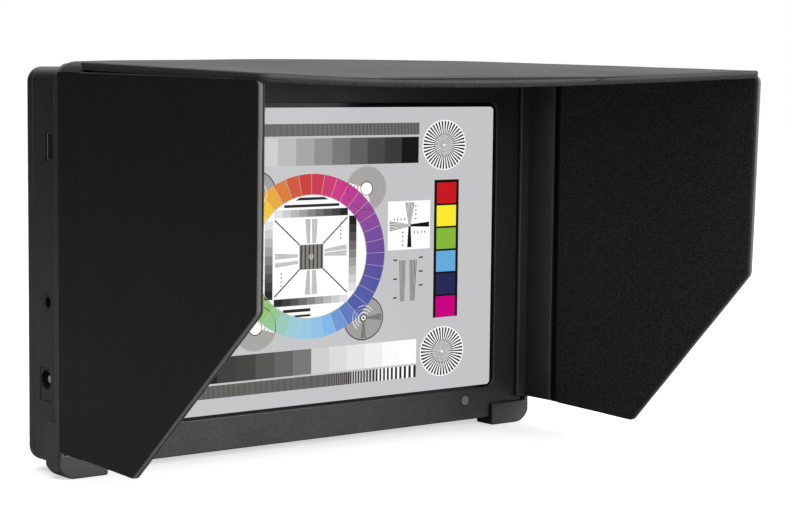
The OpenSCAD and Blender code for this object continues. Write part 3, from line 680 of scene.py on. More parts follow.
def add_slab(bm, loop, rings, wear_and_sheen=0):
    """Adds a closed slab: rings of (inset, depth) round the outline's edge, and a face at each end."""
    normals = inward(loop)
    # Share of the light grey edge colour at each point: partly wear, partly painted highlight.
    wear_and_highlight = bm.verts.layers.float.get("wear_and_sheen") or bm.verts.layers.float.new("wear_and_sheen")
    levels = [
        [bm.verts.new((*(p + n * inset), depth)) for p, n in zip(loop, normals)]
        for inset, depth in rings
    ]
    for level, (inset, _) in zip(levels, rings):
        for vert in level:
            vert[wear_and_highlight] = wear_and_sheen if inset < WORN_AND_LIT_BAND and vert.co.y > WORN_AND_LIT_FROM else 0
    for upper, lower in zip(levels, levels[1:]):
        for i in range(len(loop)):
            bm.faces.new((upper[i - 1], upper[i], lower[i], lower[i - 1]))
    bm.faces.new(levels[0])
    bm.faces.new(list(reversed(levels[-1])))


def cut(bm, axis, places):
    """Adds edges across a mesh where it crosses planes at those places on an axis."""
    normal = [0, 0, 0]
    normal[axis] = 1
    for place in places:
        spot = [0, 0, 0]
        spot[axis] = place
        bmesh.ops.bisect_plane(
            bm, geom=bm.verts[:] + bm.edges[:] + bm.faces[:], dist=FINE_WELD,
            plane_co=spot, plane_no=normal,
        )


def spread(low, high, step):
    """Even places between two values."""
    count = max(1, round((high - low) / step))
    return [low + (high - low) * k / count for k in range(1, count)]


def wrapped_rings(t, total, rim):
    """Rings of a leather cover that wraps a board's edge, from its outer face to its inner one."""
    rings = [(OUTER_WRAP * 1.2, 0)]
    for k in range(1, 7):
        a = math.radians(15 * k)
        rings.append((OUTER_WRAP * (1 - math.sin(a)), OUTER_WRAP * (1 - math.cos(a))))
    for k in range(4):
        a = math.radians(30 * k)
        rings.append((INNER_WRAP * (1 - math.cos(a)), total - INNER_WRAP + INNER_WRAP * math.sin(a)))
    return rings + [(rim, total), (rim, t)]


def leather_cover(outline, bar, folds, wear_and_sheen):
    """A leather sheet in flat coordinates: across, distance in front of the fold, depth.

    bar holds the ends of the board's edge along the fold, and folds are further lines to bend at.
    """
    s = sizes()
    t = s.leather_t
    total = s.leather_t + s.board_t
    rim = 1.2 * MM
    turned_in_from = 1.3 * MM
    slit_at = -0.1 * MM
    bm = bmesh.new()
    loop = rounded(outline, 2.5 * MM)
    add_slab(bm, loop, wrapped_rings(t, total, rim), wear_and_sheen)
    across = [p.x for p in loop]
    cut(bm, 1, [place * MM for place in FOLD_LINES])
    cut(bm, 1, spread(3 * MM, max(p.y for p in loop), SHEET_STEP))
    cut(bm, 0, spread(min(across), max(across), SHEET_STEP))
    cut(bm, 0, folds)
    for vert in bm.verts:
        u = vert.co.y
        if u < turned_in_from:
            vert.co.z = min(vert.co.z, t)
        if u < slit_at and vert.co.z < t * 0.9:
            vert.co.z *= 0.15
    bmesh.ops.remove_doubles(bm, verts=bm.verts, dist=FINE_WELD)
    low, high = bar
    near = s.stiff_start
    far = s.stiff_start + rim
    r = 0.3 * MM
    edge = rounded([(low, near, r), (high, near, r), (high, far, r), (low, far, r)], SHEET_STEP)
    add_slab(bm, edge, [
        (r, t - 0.02 * MM), (0, t), (0, total - 0.25 * MM), (0.08 * MM, total - 0.07 * MM),
        (0.29 * MM, total),
    ])
    return bm


def settle(bm, seed):
    """Gives a flat sheet the small waves, the fold's groove and the uneven edges of real leather."""
    for vert in bm.verts:
        s, u, depth = vert.co
        free = share((u - 2 * MM) / (12 * MM))
        spot = Vector((s * 55, u * 55, seed))
        vert.co.z -= WAVE * free * (noise.noise(spot) + 0.5 * noise.noise(spot * 2.3))
        vert.co.x += WANDER_ACROSS * free * noise.noise(Vector((u * 110, s * 12, seed + 5)))
        vert.co.y += WANDER_ALONG * free * noise.noise(Vector((s * 110, u * 12, seed + 9)))
        if depth < 0.3 * MM:
            vert.co.z += GROOVE * math.exp(-((u / GROOVE_WIDTH) ** 2))
    bmesh.ops.triangulate(bm, faces=[f for f in bm.faces if len(f.verts) > 4])


def side_place(sign):
    """Where a point of a side flap's flat coordinates is: height, distance from the fold, depth."""
    skin_x, fold_y, _ = fold()

    def place(s, u, depth):
        up, out = side_change(sign, s, u)
        return Vector((sign * (skin_x - depth), fold_y - u - out, s + up))

    return place


def top_place():
    """Where a point of the top sheet's flat coordinates is, with the rim's rounded corners."""
    skin_x, fold_y, skin_z = fold()
    tilt = slope()
    r = sizes().frame_r + sizes().leather_t
    flat = skin_x - r

    def place(s, u, depth):
        if u >= 0:
            side, up = top_change(s, u / sizes().top_reach)
            return Vector((
                s + side,
                fold_y - u * math.cos(tilt) + depth * math.sin(tilt),
                skin_z - u * math.sin(tilt) - depth * math.cos(tilt) + up,
            ))
        turn = max(0, abs(s) - flat) / r
        x = math.copysign(flat + (r - depth) * math.sin(turn), s) if turn else s
        z = skin_z - r + (r - depth) * math.cos(turn)
        return Vector((x, fold_y - u, z + top_change(x, 0)[1] * corner_share(z)))

    return place


def move_to(bm, place):
    """Moves a mesh from flat coordinates into place."""
    for vert in bm.verts:
        vert.co = place(*vert.co)


def side_outline(start):
    """Corners of a side flap's outline in height and distance from the fold, anticlockwise."""
    s = sizes()
    low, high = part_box("left_flap_cover")
    front = fold()[1] - low.y
    at_fold = 1.2 * MM
    at_tip = 2 * MM
    return [
        (high.z, start, at_fold), (s.side_tip_z, front, at_tip), (s.side_front_z, front, s.side_corner),
        (low.z, s.side_bottom, s.side_corner), (s.side_rear_z, start, at_fold),
    ]


def fold():
    """The fold's place: outer face of the side flaps, line of the fold, top face of the rim leather."""
    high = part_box("right_flap_cover")[1]
    return high.x, high.y + sizes().flap_start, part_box("top_rim_leather")[1].z


def slope():
    """The top flap's fall towards its front edge, as an angle."""
    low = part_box("top_flap_cover")[0]
    _, fold_y, skin_z = fold()
    drop = skin_z - low.z - (sizes().leather_t + sizes().board_t)
    return math.atan2(drop, fold_y - low.y)


def top_length():
    """Distance down the top flap's slope from the fold to its front edge."""
    return (fold()[1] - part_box("top_flap_cover")[0].y) / math.cos(slope())


# The test picture


def linear(colour):
    """Linear values of a colour given as 0 to 255 screen values."""
    return [(c / 255 / 12.92) if c <= 10 else ((c / 255 + 0.055) / 1.055) ** 2.4 for c in colour]


class Chart:
    """Flat figures in thin layers, each a closed prism with its own colour. Sizes are in millimetres."""

    WHITE = (255, 255, 255)
    BLACK = (22, 21, 18)
    GREY = (160, 158, 156)

    def __init__(self, face_y, layer, middle):
        self.face_y = face_y
        self.layer = layer
        self.middle = middle
        self.points = []
        self.faces = []
        self.tints = []

    def shape(self, outline, layer, colour):
        """One figure from its outline's (x, z) points."""
        first = len(self.points)
        count = len(outline)
        for depth in (0, layer + 2):
            for x, z in outline:
                self.points.append((
                    self.middle[0] + x * MM, self.face_y - depth * self.layer, self.middle[1] + z * MM
                ))
        self.faces.append(tuple(range(first, first + count)))
        self.faces.append(tuple(range(first + 2 * count - 1, first + count - 1, -1)))
        for i in range(count):
            j = (i + 1) % count
            self.faces.append((first + i, first + j, first + count + j, first + count + i))
        self.tints.extend([(*linear(colour), 1)] * (2 * count))

    def bar(self, x0, x1, z0, z1, layer, colour):
        """A rectangle."""
        self.shape([(x0, z0), (x1, z0), (x1, z1), (x0, z1)], layer, colour)

    def line(self, a, b, wide_a, wide_b, layer, colour):
        """A straight stroke that may taper."""
        a = Vector(a)
        b = Vector(b)
        side = (b - a).normalized().orthogonal() / 2
        ends = (a + side * wide_a, a - side * wide_a, b - side * wide_b, b + side * wide_b)
        self.shape([tuple(p) for p in ends], layer, colour)

    def band(self, centre, inner, outer, start, turn, layer, colour, steps=3):
        """Part of a ring; inner and outer are (half width, half height), angles in degrees from the top."""

        def at(radii, k):
            a = math.radians(start + turn * k / steps)
            return (centre[0] + radii[0] * math.sin(a), centre[1] + radii[1] * math.cos(a))

        out = [at(outer, k) for k in range(steps + 1)]
        back = [at(inner, k) for k in range(steps, -1, -1)]
        self.shape(out + back, layer, colour)

    def disc(self, centre, radii, layer, colour, steps=48):
        """A filled ellipse."""
        self.shape([
            (centre[0] + radii[0] * math.cos(2 * math.pi * k / steps),
             centre[1] + radii[1] * math.sin(2 * math.pi * k / steps)) for k in range(steps)
        ], layer, colour)

    def ring(self, centre, radii, width, layer, colour, start=0, turn=360):
        """A thin ring or arc."""
        parts = max(4, round(turn / 15))
        inner = (radii[0] - width, radii[1] - width)
        for k in range(parts):
            self.band(centre, inner, radii, start + turn * k / parts, turn / parts, layer, colour, 2)

    def fan(self, a, b, wide_a, wide_b, lines, layer, colour):
        """Lines that run together from a to b."""
        a = Vector(a)
        b = Vector(b)
        side = (b - a).normalized().orthogonal()
        for k in range(lines):
            t = (k + 0.5) / lines - 0.5
            self.line(a + side * t * wide_a, b + side * t * wide_b,
                      wide_a / lines / 2, wide_b / lines / 2, layer, colour)

    def steps(self, x0, x1, z0, z1, greys, layer, upright=False):
        """A row or column of even grey steps."""
        count = len(greys)
        for k, grey in enumerate(greys):
            tone = (grey, grey, grey - 1 if grey < 120 else grey)
            if upright:
                a = z1 - (z1 - z0) * k / count
                self.bar(x0, x1, z1 - (z1 - z0) * (k + 1) / count, a, layer, tone)
            else:
                self.bar(x0 + (x1 - x0) * k / count, x0 + (x1 - x0) * (k + 1) / count, z0, z1, layer, tone)

    def star(self, centre, radii, spokes, layer):
        """A wheel of black spokes on a white disc."""
        self.disc(centre, radii, layer, self.WHITE)
        for k in range(spokes):
            a = 360 * k / spokes
            self.band(centre, (radii[0] * 0.05, radii[1] * 0.05), (radii[0] * 0.96, radii[1] * 0.96),
                      a, 180 / spokes, layer + 1, self.BLACK, 1)
        self.ring(centre, (radii[0] * 0.46, radii[1] * 0.46), 0.12, layer + 2, self.BLACK)

    def burst(self, x0, x1, z0, z1, first, last, ratio, layer):
        """Upright lines that grow finer from x1 back to x0."""
        pitch = first
        x = x1
        while x - pitch > x0:
            self.bar(x - pitch * 0.5, x, z0, z1, layer, self.BLACK)
            x -= pitch
            pitch = max(last, pitch * ratio)


HUES = (
    (0, (201, 45, 56)), (12, (202, 46, 100)), (30, (200, 52, 140)), (48, (165, 72, 152)),
    (68, (130, 77, 156)), (90, (104, 79, 158)), (118, (82, 84, 160)), (135, (76, 90, 167)),
    (152, (104, 140, 204)), (166, (128, 184, 234)), (182, (146, 200, 228)), (198, (154, 203, 210)),
    (214, (148, 199, 152)), (232, (142, 192, 90)), (252, (150, 197, 60)), (268, (214, 222, 50)),
    (282, (252, 232, 46)), (302, (249, 222, 50)), (322, (236, 182, 49)), (336, (214, 116, 50)),
    (350, (200, 64, 46)), (360, (201, 45, 56)),
)


def hue_at(angle):
    """Colour of the ring at an angle from its top."""
    for (a, low), (b, high) in zip(HUES, HUES[1:]):
        if a <= angle <= b:
            t = (angle - a) / (b - a)
            return tuple(p + (q - p) * t for p, q in zip(low, high))
    raise RuntimeError(f"no colour at {angle}")


def draw_ring(chart):
    """The colour ring with the grey steps and wedges inside it."""
    for k in range(36):
        chart.band((0, 0), (21.6, 19.4), (29.5, 26.3), 10 * k, 10, 2, hue_at(10 * k + 5), 4)
        chart.band((0, 0), (21.8, 19.6), (29.4, 26.2), 10 * k - 0.12, 0.24, 3, (205, 195, 205), 1)
    chart.disc((0, 0), (21.9, 19.6), 4, chart.WHITE, 72)
    chart.ring((0, 0), (22.1, 19.8), 0.25, 5, (190, 190, 192))
    black = chart.BLACK
    chart.shape([(-6.2, 18.0), (6.6, 18.0), (4.9, 18.9), (-4.6, 18.9)], 5, black)
    chart.bar(-10.6, 10.9, 15.8, 16.7, 5, black)
    light_to_dark = (224, 204, 182, 158, 130, 104, 78, 56, 27)
    chart.steps(-14.4, 14.4, 12.7, 15.1, light_to_dark, 5)
    chart.steps(-14.4, 14.4, -15.3, -12.9, light_to_dark[::-1], 5)
    chart.steps(14.9, 17.9, -11.9, 12.5, light_to_dark[::-1], 5, True)
    chart.steps(-17.9, -14.9, -12.9, 11.9, light_to_dark, 5, True)
    chart.bar(-10.9, -0.2, -17.4, -16.4, 5, black)
    chart.bar(-6.5, -0.2, -19.0, -18.3, 5, black)
    for sx in (-1, 1):
        for sz in (-1, 1):
            chart.line((sx * 14.2, sz * 12.1), (sx * 4.6, sz * 3.95), 0.42, 0.42, 5, black)
    chart.bar(-4.6, 4.7, -4.0, 3.9, 5, (132, 130, 127))
    for k in range(6):
        x = -4.2 + k * 1.58
        chart.bar(x, x + 0.62, -4.0, 3.9, 6, (62, 60, 57))
    chart.disc((0, 0), (1.0, 1.0), 7, (70, 68, 66), 24)
    chart.star((0, 0), (0.8, 0.9), 8, 8)
    for s in (-1, 1):
        chart.fan((-1.4, s * 12.0), (-1.1, s * 4.3), 2.1, 1.1, 6, 5, (70, 68, 66))
        chart.fan((1.3, s * 12.0), (1.1, s * 4.3), 2.3, 1.5, 6, 5, (95, 93, 90))
        chart.fan((s * 14.0, 0.6), (s * 5.1, 0.5), 1.9, 0.9, 5, 5, (80, 78, 76))
        outer_z, inner_z = (-2.2, -1.5) if s < 0 else (2.6, 1.7)
        chart.fan((s * 14.0, outer_z), (s * 5.1, inner_z), 1.5, 1.0, 5, 5, (95, 93, 91))
        for k in range(5):
            x = s * 11.6
            z = s * (5.2 + k * 1.25)
            chart.bar(x - 0.2, x + 0.2, z, z + 0.55 - 0.06 * k, 5, black)
    for k in range(9):
        chart.bar(-21.0, -18.9, 2.4 - k * 0.82, 2.4 - k * 0.82 + 0.42, 5, black)


def draw_corner(chart, x, z, banded):
    """One of the round targets behind the colour ring."""
    turn = math.degrees(math.atan2(-x, -z))
    if banded:
        chart.disc((x, z), (8.1, 7.3), 0, (172, 170, 168))
        for k in range(1, 7):
            chart.ring((x, z), (8.1 - k * 0.95, 7.3 - k * 0.85), 0.16, 1, (150, 148, 146))
        for k, edge in enumerate((7.9, 6.6, 5.2, 3.8)):
            inner = (edge - 1.35, edge * 0.9 - 1.25)
            outer = (edge, edge * 0.9)
            chart.band((x, z), inner, outer, turn - 62, 124, 1, chart.WHITE, 8)
            chart.ring((x, z), outer, 0.32, 1 if k else 2, chart.BLACK, turn - 62, 124)
        chart.disc((x, z), (2.6, 2.4), 1, chart.BLACK, 32)
        chart.disc((x, z), (2.25, 2.05), 2, chart.WHITE, 32)
    else:
        chart.disc((x, z), (8.1, 7.3), 0, chart.BLACK)
        chart.disc((x, z), (7.75, 6.95), 1, chart.GREY)
        for k in (2, 3.1, 4.2):
            chart.ring((x, z), (k * 1.08, k * 0.98), 0.2, 2, chart.WHITE, turn - 100, 200)
        wedge = (2.3, 0.8, 4, 2, (60, 58, 57))
        chart.fan((x + math.copysign(7.3, x), z), (x + math.copysign(1.4, x), z), *wedge)
        chart.fan((x, z + math.copysign(6.6, z)), (x, z + math.copysign(1.4, z)), *wedge)
        chart.disc((x, z), (1.35, 1.25), 2, chart.BLACK, 28)
        chart.disc((x, z), (0.95, 0.85), 3, chart.WHITE, 24)
        chart.disc((x, z), (0.45, 0.42), 4, chart.BLACK, 20)


def draw_cross(chart, x, z):
    """A white square with four wedges that meet in its middle."""
    chart.bar(x - 9.0, x + 8.7, z - 7.9, z + 8.1, 1, chart.WHITE)
    black = chart.BLACK
    chart.line((x, z - 7.2), (x, z), 1.8, 0.9, 2, black)
    chart.line((x + 8.3, z + 0.1), (x, z), 1.7, 0.7, 2, black)
    chart.fan((x + 0.1, z + 7.6), (x, z + 0.3), 4.1, 0.9, 6, 2, black)
    chart.fan((x - 8.4, z), (x - 0.3, z), 3.6, 0.8, 6, 2, black)
    chart.disc((x, z), (0.32, 0.3), 3, chart.WHITE, 16)
    for k in range(4):
        chart.bar(x + 2.2, x + 2.9, z + 2.0 + k * 1.4, z + 2.35 + k * 1.4, 2, (70, 70, 70))
        chart.bar(x - 2.3 - k * 1.45, x - 1.95 - k * 1.45, z + 1.8, z + 2.5, 2, (70, 70, 70))
        chart.bar(x - 3.1, x - 2.5, z - 2.4 - k * 1.4, z - 2.0 - k * 1.4, 2, (70, 70, 70))
        chart.bar(x + 1.8 + k * 1.5, x + 2.15 + k * 1.5, z - 2.7, z - 2.0, 2, (70, 70, 70))


def draw_column(chart, x, colours_down):
    """A framed column of colour squares."""
    chart.bar(x, x + 10.5, -22.9, 23.1, 1, chart.BLACK)
    for k, colour in enumerate(colours_down):
        top = 22.15 - k * 7.6
        chart.bar(x + 1.1, x + 9.4, top - 6.95, top, 2, colour)


def draw_chart(chart, w, h):
    """All the figures on the grey ground."""
    corner = [(sx * w / 2, sz * h / 2, 1.4) for sx, sz in ((-1, -1), (1, -1), (1, 1), (-1, 1))]
    chart.shape([tuple(p) for p in rounded(corner, 20)], -1, (197, 197, 200))
    targets = ((21.9, 21.0, True), (21.1, -21.0, False), (-21.7, 20.6, False), (-21.3, -21.4, True))
    for x, z, banded in targets:
        draw_corner(chart, x, z, banded)
    draw_ring(chart)
    greys = (206, 186, 164, 142, 118, 96, 74, 59, 25)
    chart.bar(-20.2, 43.5, 38.2, 42.1, 1, (142, 141, 139))
    chart.burst(-20.2, 43.4, 38.2, 42.1, 0.62, 0.44, 0.997, 2)
    chart.steps(-20.2, 43.3, 28.9, 37.5, greys, 1)
    chart.bar(-43.2, -24.0, 28.9, 42.1, 1, chart.WHITE)
    for i in range(6):
        for j in range(4):
            if (i + j) % 2:
                chart.bar(-43.2 + i * 3.2, -40.0 + i * 3.2, 28.9 + j * 3.3, 32.2 + j * 3.3, 2, chart.BLACK)
    low = (25, 58, 63, 82, 97, 117, 207, 219, 228, 238, 250, 255)
    chart.steps(-42.6, 43.2, -37.6, -29.5, low, 1)
    chart.bar(-42.4, 43.1, -42.2, -38.2, 1, (138, 137, 135))
    chart.bar(16, 43.1, -42.2, -38.2, 2, (200, 200, 200))
    chart.bar(27, 43.1, -42.2, -38.2, 3, chart.WHITE)
    chart.burst(-42.3, 43.1, -42.2, -38.2, 2.1, 0.46, 0.957, 4)
    for sx in (-1, 1):
        chart.star((sx * 54.2, 34.6), (9.3, 8.3), 40, 1)
        chart.star((sx * 54.2, -34.4), (9.4, 8.4), 40, 1)
        draw_cross(chart, sx * 39.8, 8.4)
        x = sx * 39.4
        chart.fan((x - 2.4, -3.0), (x - 2.4, -16.6), 2.9, 1.8, 5, 1, (92, 90, 88))
        chart.fan((x + 2.1, -3.0), (x + 1.9, -16.6), 3.3, 2.1, 5, 1, (86, 84, 82))
        for k in range(3):
            chart.bar(x - 6.2, x - 4.6, -3.1 - k * 6.2, -2.6 - k * 6.2, 1, (60, 60, 60))
            chart.bar(x + 4.6, x + 6.2, -2.6 - k * 4.6, -2.1 - k * 4.6, 1, (60, 60, 60))
    bright = ((200, 27, 33), (251, 233, 46), (133, 184, 60), (101, 171, 222), (40, 43, 86), (201, 4, 128))
    soft = (
        (214, 160, 150), (236, 214, 160), (170, 190, 150),
        (150, 180, 200), (140, 130, 170), (190, 150, 175),
    )
    draw_column(chart, 50.2, bright)
    draw_column(chart, -60.7, soft)


# Repeating details made by Geometry Nodes

FIBRE_DENSITY = 2.2e7
FIBRE_LEAN = (0.9, 0.9, 3.1)  # largest turns of a fibre, in radians
FIBRE_SHORTEST = 0.45  # share of the full length


def node_group(name, inputs):
    """A geometry node group with named inputs and one output."""
    group = bpy.data.node_groups.new(name, "GeometryNodeTree")
    group.interface.new_socket("Geometry", in_out="INPUT", socket_type="NodeSocketGeometry")
    for label, kind in inputs:
        group.interface.new_socket(label, in_out="INPUT", socket_type=kind)
    group.interface.new_socket("Geometry", in_out="OUTPUT", socket_type="NodeSocketGeometry")
    start = group.nodes.new("NodeGroupInput")
    end = group.nodes.new("NodeGroupOutput")
    realize = group.nodes.new("GeometryNodeRealizeInstances")
    paint = group.nodes.new("GeometryNodeSetMaterial")
    group.links.new(realize.outputs[0], paint.inputs["Geometry"])
    group.links.new(start.outputs["Material"], paint.inputs["Material"])
    group.links.new(paint.outputs[0], end.inputs[0])
    return group, start, realize


def calculate(group, operation, first, second=None):
    """A maths node in a geometry node group; second is a socket or a number."""
    node = group.nodes.new("ShaderNodeMath")
    node.operation = operation
    group.links.new(first, node.inputs[0])
    if isinstance(second, (int, float)):
        node.inputs[1].default_value = second
    elif second is not None:
        group.links.new(second, node.inputs[1])
    return node.outputs[0]


def stored(group, name):
    """Reads a number that the mesh carries at each point."""
    node = group.nodes.new("GeometryNodeInputNamedAttribute")
    node.data_type = "FLOAT"
    node.inputs["Name"].default_value = name
    return node.outputs["Attribute"]


def rib_group():
    """Raises rounded ribs where the mesh's rib_mask lets them stand."""
    inputs = (("Height", "NodeSocketFloat"), ("Material", "NodeSocketMaterial"))
    group, start, realize = node_group("Knitted ribs", inputs)
    angle = calculate(group, "MULTIPLY", stored(group, "rib_phase"), 2 * math.pi)
    wave = calculate(group, "COSINE", angle)
    masked = calculate(group, "MULTIPLY", wave, stored(group, "rib_mask"))
    height = calculate(group, "MULTIPLY", masked, start.outputs["Height"])
    normal = group.nodes.new("GeometryNodeInputNormal")
    offset = group.nodes.new("ShaderNodeVectorMath")
    offset.operation = "SCALE"
    group.links.new(normal.outputs[0], offset.inputs[0])
    group.links.new(height, offset.inputs["Scale"])
    move = group.nodes.new("GeometryNodeSetPosition")
    group.links.new(start.outputs["Geometry"], move.inputs["Geometry"])
    group.links.new(offset.outputs[0], move.inputs["Offset"])
    group.links.new(move.outputs[0], realize.inputs[0])
    return group


def fibre_group():
    """Scatters loose fibres where the mesh's rim value is high."""
    inputs = (
        ("Density", "NodeSocketFloat"), ("Length", "NodeSocketFloat"), ("Radius", "NodeSocketFloat"),
        ("Seed", "NodeSocketInt"), ("Material", "NodeSocketMaterial"),
    )
    group, start, realize = node_group("Loose fibres", inputs)
    nodes = group.nodes
    links = group.links
    rim = stored(group, "rim")
    scatter = nodes.new("GeometryNodeDistributePointsOnFaces")
    links.new(start.outputs["Geometry"], scatter.inputs["Mesh"])
    links.new(calculate(group, "MULTIPLY", start.outputs["Density"], rim), scatter.inputs["Density"])
    links.new(start.outputs["Seed"], scatter.inputs["Seed"])
    fibre = nodes.new("GeometryNodeMeshCone")
    fibre.inputs["Vertices"].default_value = 3
    links.new(start.outputs["Radius"], fibre.inputs["Radius Bottom"])
    links.new(start.outputs["Length"], fibre.inputs["Depth"])
    lean = nodes.new("FunctionNodeRandomValue")
    lean.data_type = "FLOAT_VECTOR"
    lean.inputs["Min"].default_value = [-most for most in FIBRE_LEAN]
    lean.inputs["Max"].default_value = FIBRE_LEAN
    euler = nodes.new("FunctionNodeEulerToRotation")
    links.new(lean.outputs["Value"], euler.inputs[0])
    turn = nodes.new("FunctionNodeRotateRotation")
    turn.rotation_space = "LOCAL"
    links.new(scatter.outputs["Rotation"], turn.inputs[0])
    links.new(euler.outputs[0], turn.inputs[1])
    size = nodes.new("FunctionNodeRandomValue")
    size.data_type = "FLOAT"
    size.inputs[2].default_value = FIBRE_SHORTEST
    size.inputs[3].default_value = 1.0
    place = nodes.new("GeometryNodeInstanceOnPoints")
    links.new(scatter.outputs["Points"], place.inputs["Points"])
    links.new(fibre.outputs["Mesh"], place.inputs["Instance"])
    links.new(turn.outputs[0], place.inputs["Rotation"])
    links.new(size.outputs[1], place.inputs["Scale"])
    links.new(place.outputs[0], realize.inputs[0])
    return group


def grow(obj, group, values):
    """Runs a node group on an object and keeps what it makes as the object's mesh."""
    modifier = obj.modifiers.new(group.name, "NODES")
    modifier.node_group = group
    for item in group.interface.items_tree:
        if item.item_type == "SOCKET" and item.in_out == "INPUT" and item.name in values:
            modifier[item.identifier] = values[item.name]
    return baked(obj)


def crossing(loop, place, axis):
    """Lowest and highest point where a line crosses an outline, measured along the other axis."""
    found = []
    for i, point in enumerate(loop):
        before = loop[i - 1]
        a = before[axis] - place
        b = point[axis] - place
        if (a < 0) != (b < 0):
            t = a / (a - b)
            found.append(before[1 - axis] + (point[1 - axis] - before[1 - axis]) * t)
    return min(found), max(found)


def lining_mesh(name, loop, axis, place):
    """A ribbed panel in rows across an outline, with a soft edge, against the board's inner face."""
    s = sizes()
    base = s.leather_t + s.board_t
    soft = 0.55 * MM
    flat_from = 1.6 * MM
    ribs_full_from = 1.2 * MM
    fibres_from = 6 * MM
    spans = 9
    edge_rows = [0.02 * MM, 0.12 * MM, 0.3 * MM]
    edge_columns = [0, 0.08 * MM, 0.25 * MM, soft, flat_from]
    low = min(p[axis] for p in loop)
    high = max(p[axis] for p in loop)
    rows = [low + e for e in edge_rows]
    rows += spread(low + edge_rows[-1], high - edge_rows[-1], s.rib_pitch / 4)
    rows += [high - e for e in reversed(edge_rows)]
    bm = bmesh.new()
    phase = bm.verts.layers.float.new("rib_phase")
    mask = bm.verts.layers.float.new("rib_mask")
    rim = bm.verts.layers.float.new("rim")
    grid = []
    for row in rows:
        a, b = crossing(loop, row, axis)
        columns = [a + e for e in edge_columns]
        columns += [a + flat_from + (b - a - 2 * flat_from) * k / spans for k in range(1, spans)]
        columns += [b - e for e in reversed(edge_columns)]
        line = []
        for t in columns:
            d = min(t - a, b - t, row - low, high - row)
            rise = s.lining_t * math.sqrt(max(0, 1 - (1 - min(1, d / soft)) ** 2))
            flat = (row, t) if axis == 0 else (t, row)
            vert = bm.verts.new(place(flat[0], flat[1], base + rise))
            vert[phase] = row / s.rib_pitch
            vert[mask] = min(1, d / ribs_full_from)
            vert[rim] = 1 if d < soft and flat[1] > fibres_from else 0
            line.append(vert)
        grid.append(line)
    for above, below in zip(grid, grid[1:]):
        for k in range(len(above) - 1):
            bm.faces.new((above[k], above[k + 1], below[k + 1], below[k]))
        bm.faces.new((above[-1], above[0], below[0], below[-1]))
    bm.faces.new(grid[0])
    bm.faces.new(list(reversed(grid[-1])))
    return mesh_from(name, bm, 60)


def without_back(mesh):
    """A copy of a lining's mesh that has only the small faces of its front."""
    longest = 30 * MM
    bm = bmesh.new()
    bm.from_mesh(mesh)
    back = [face for face in bm.faces if max(edge.calc_length() for edge in face.edges) > longest]
    bmesh.ops.delete(bm, geom=back, context="FACES_ONLY")
    return mesh_data("front", bm)


# The studio, in metres, degrees and watts

CAMERA_PLACE = (-0.383864, -0.540796, 0.119174)
CAMERA_TURN = (38.26, 5.46, 0.62)  # to the right, down and sideways
CAMERA_LENS = 94.09
SENSOR_WIDTH = 36
NEAREST_SEEN = 0.01
WORLD_STRENGTH = 0.46

# Name, place, point that it looks at, size and power
LIGHTS = (
    ("key", (1.15, -1.45, 0.62), (0, 0, 0.05), (1.3, 1.0), 19),
    ("overhead", (-0.1, -0.1, 1.5), (0, 0, 0), (1.6, 1.6), 14),
    ("front", (0.3, -1.65, 0.55), (0, 0, 0.05), (0.9, 0.6), 17),
)
CARD_PLACE = (-0.62, 0.46, 0.42)
CARD_TURN = 38
CARD_SIZE = (1.3, 0.85)
FLOOR_HALF = 3
FLOOR_GAP = 0.0001
FLOOR_LIFT = 0.57
FLOOR_BOUNCE = (0.48, 0.48, 0.48)


# Operators


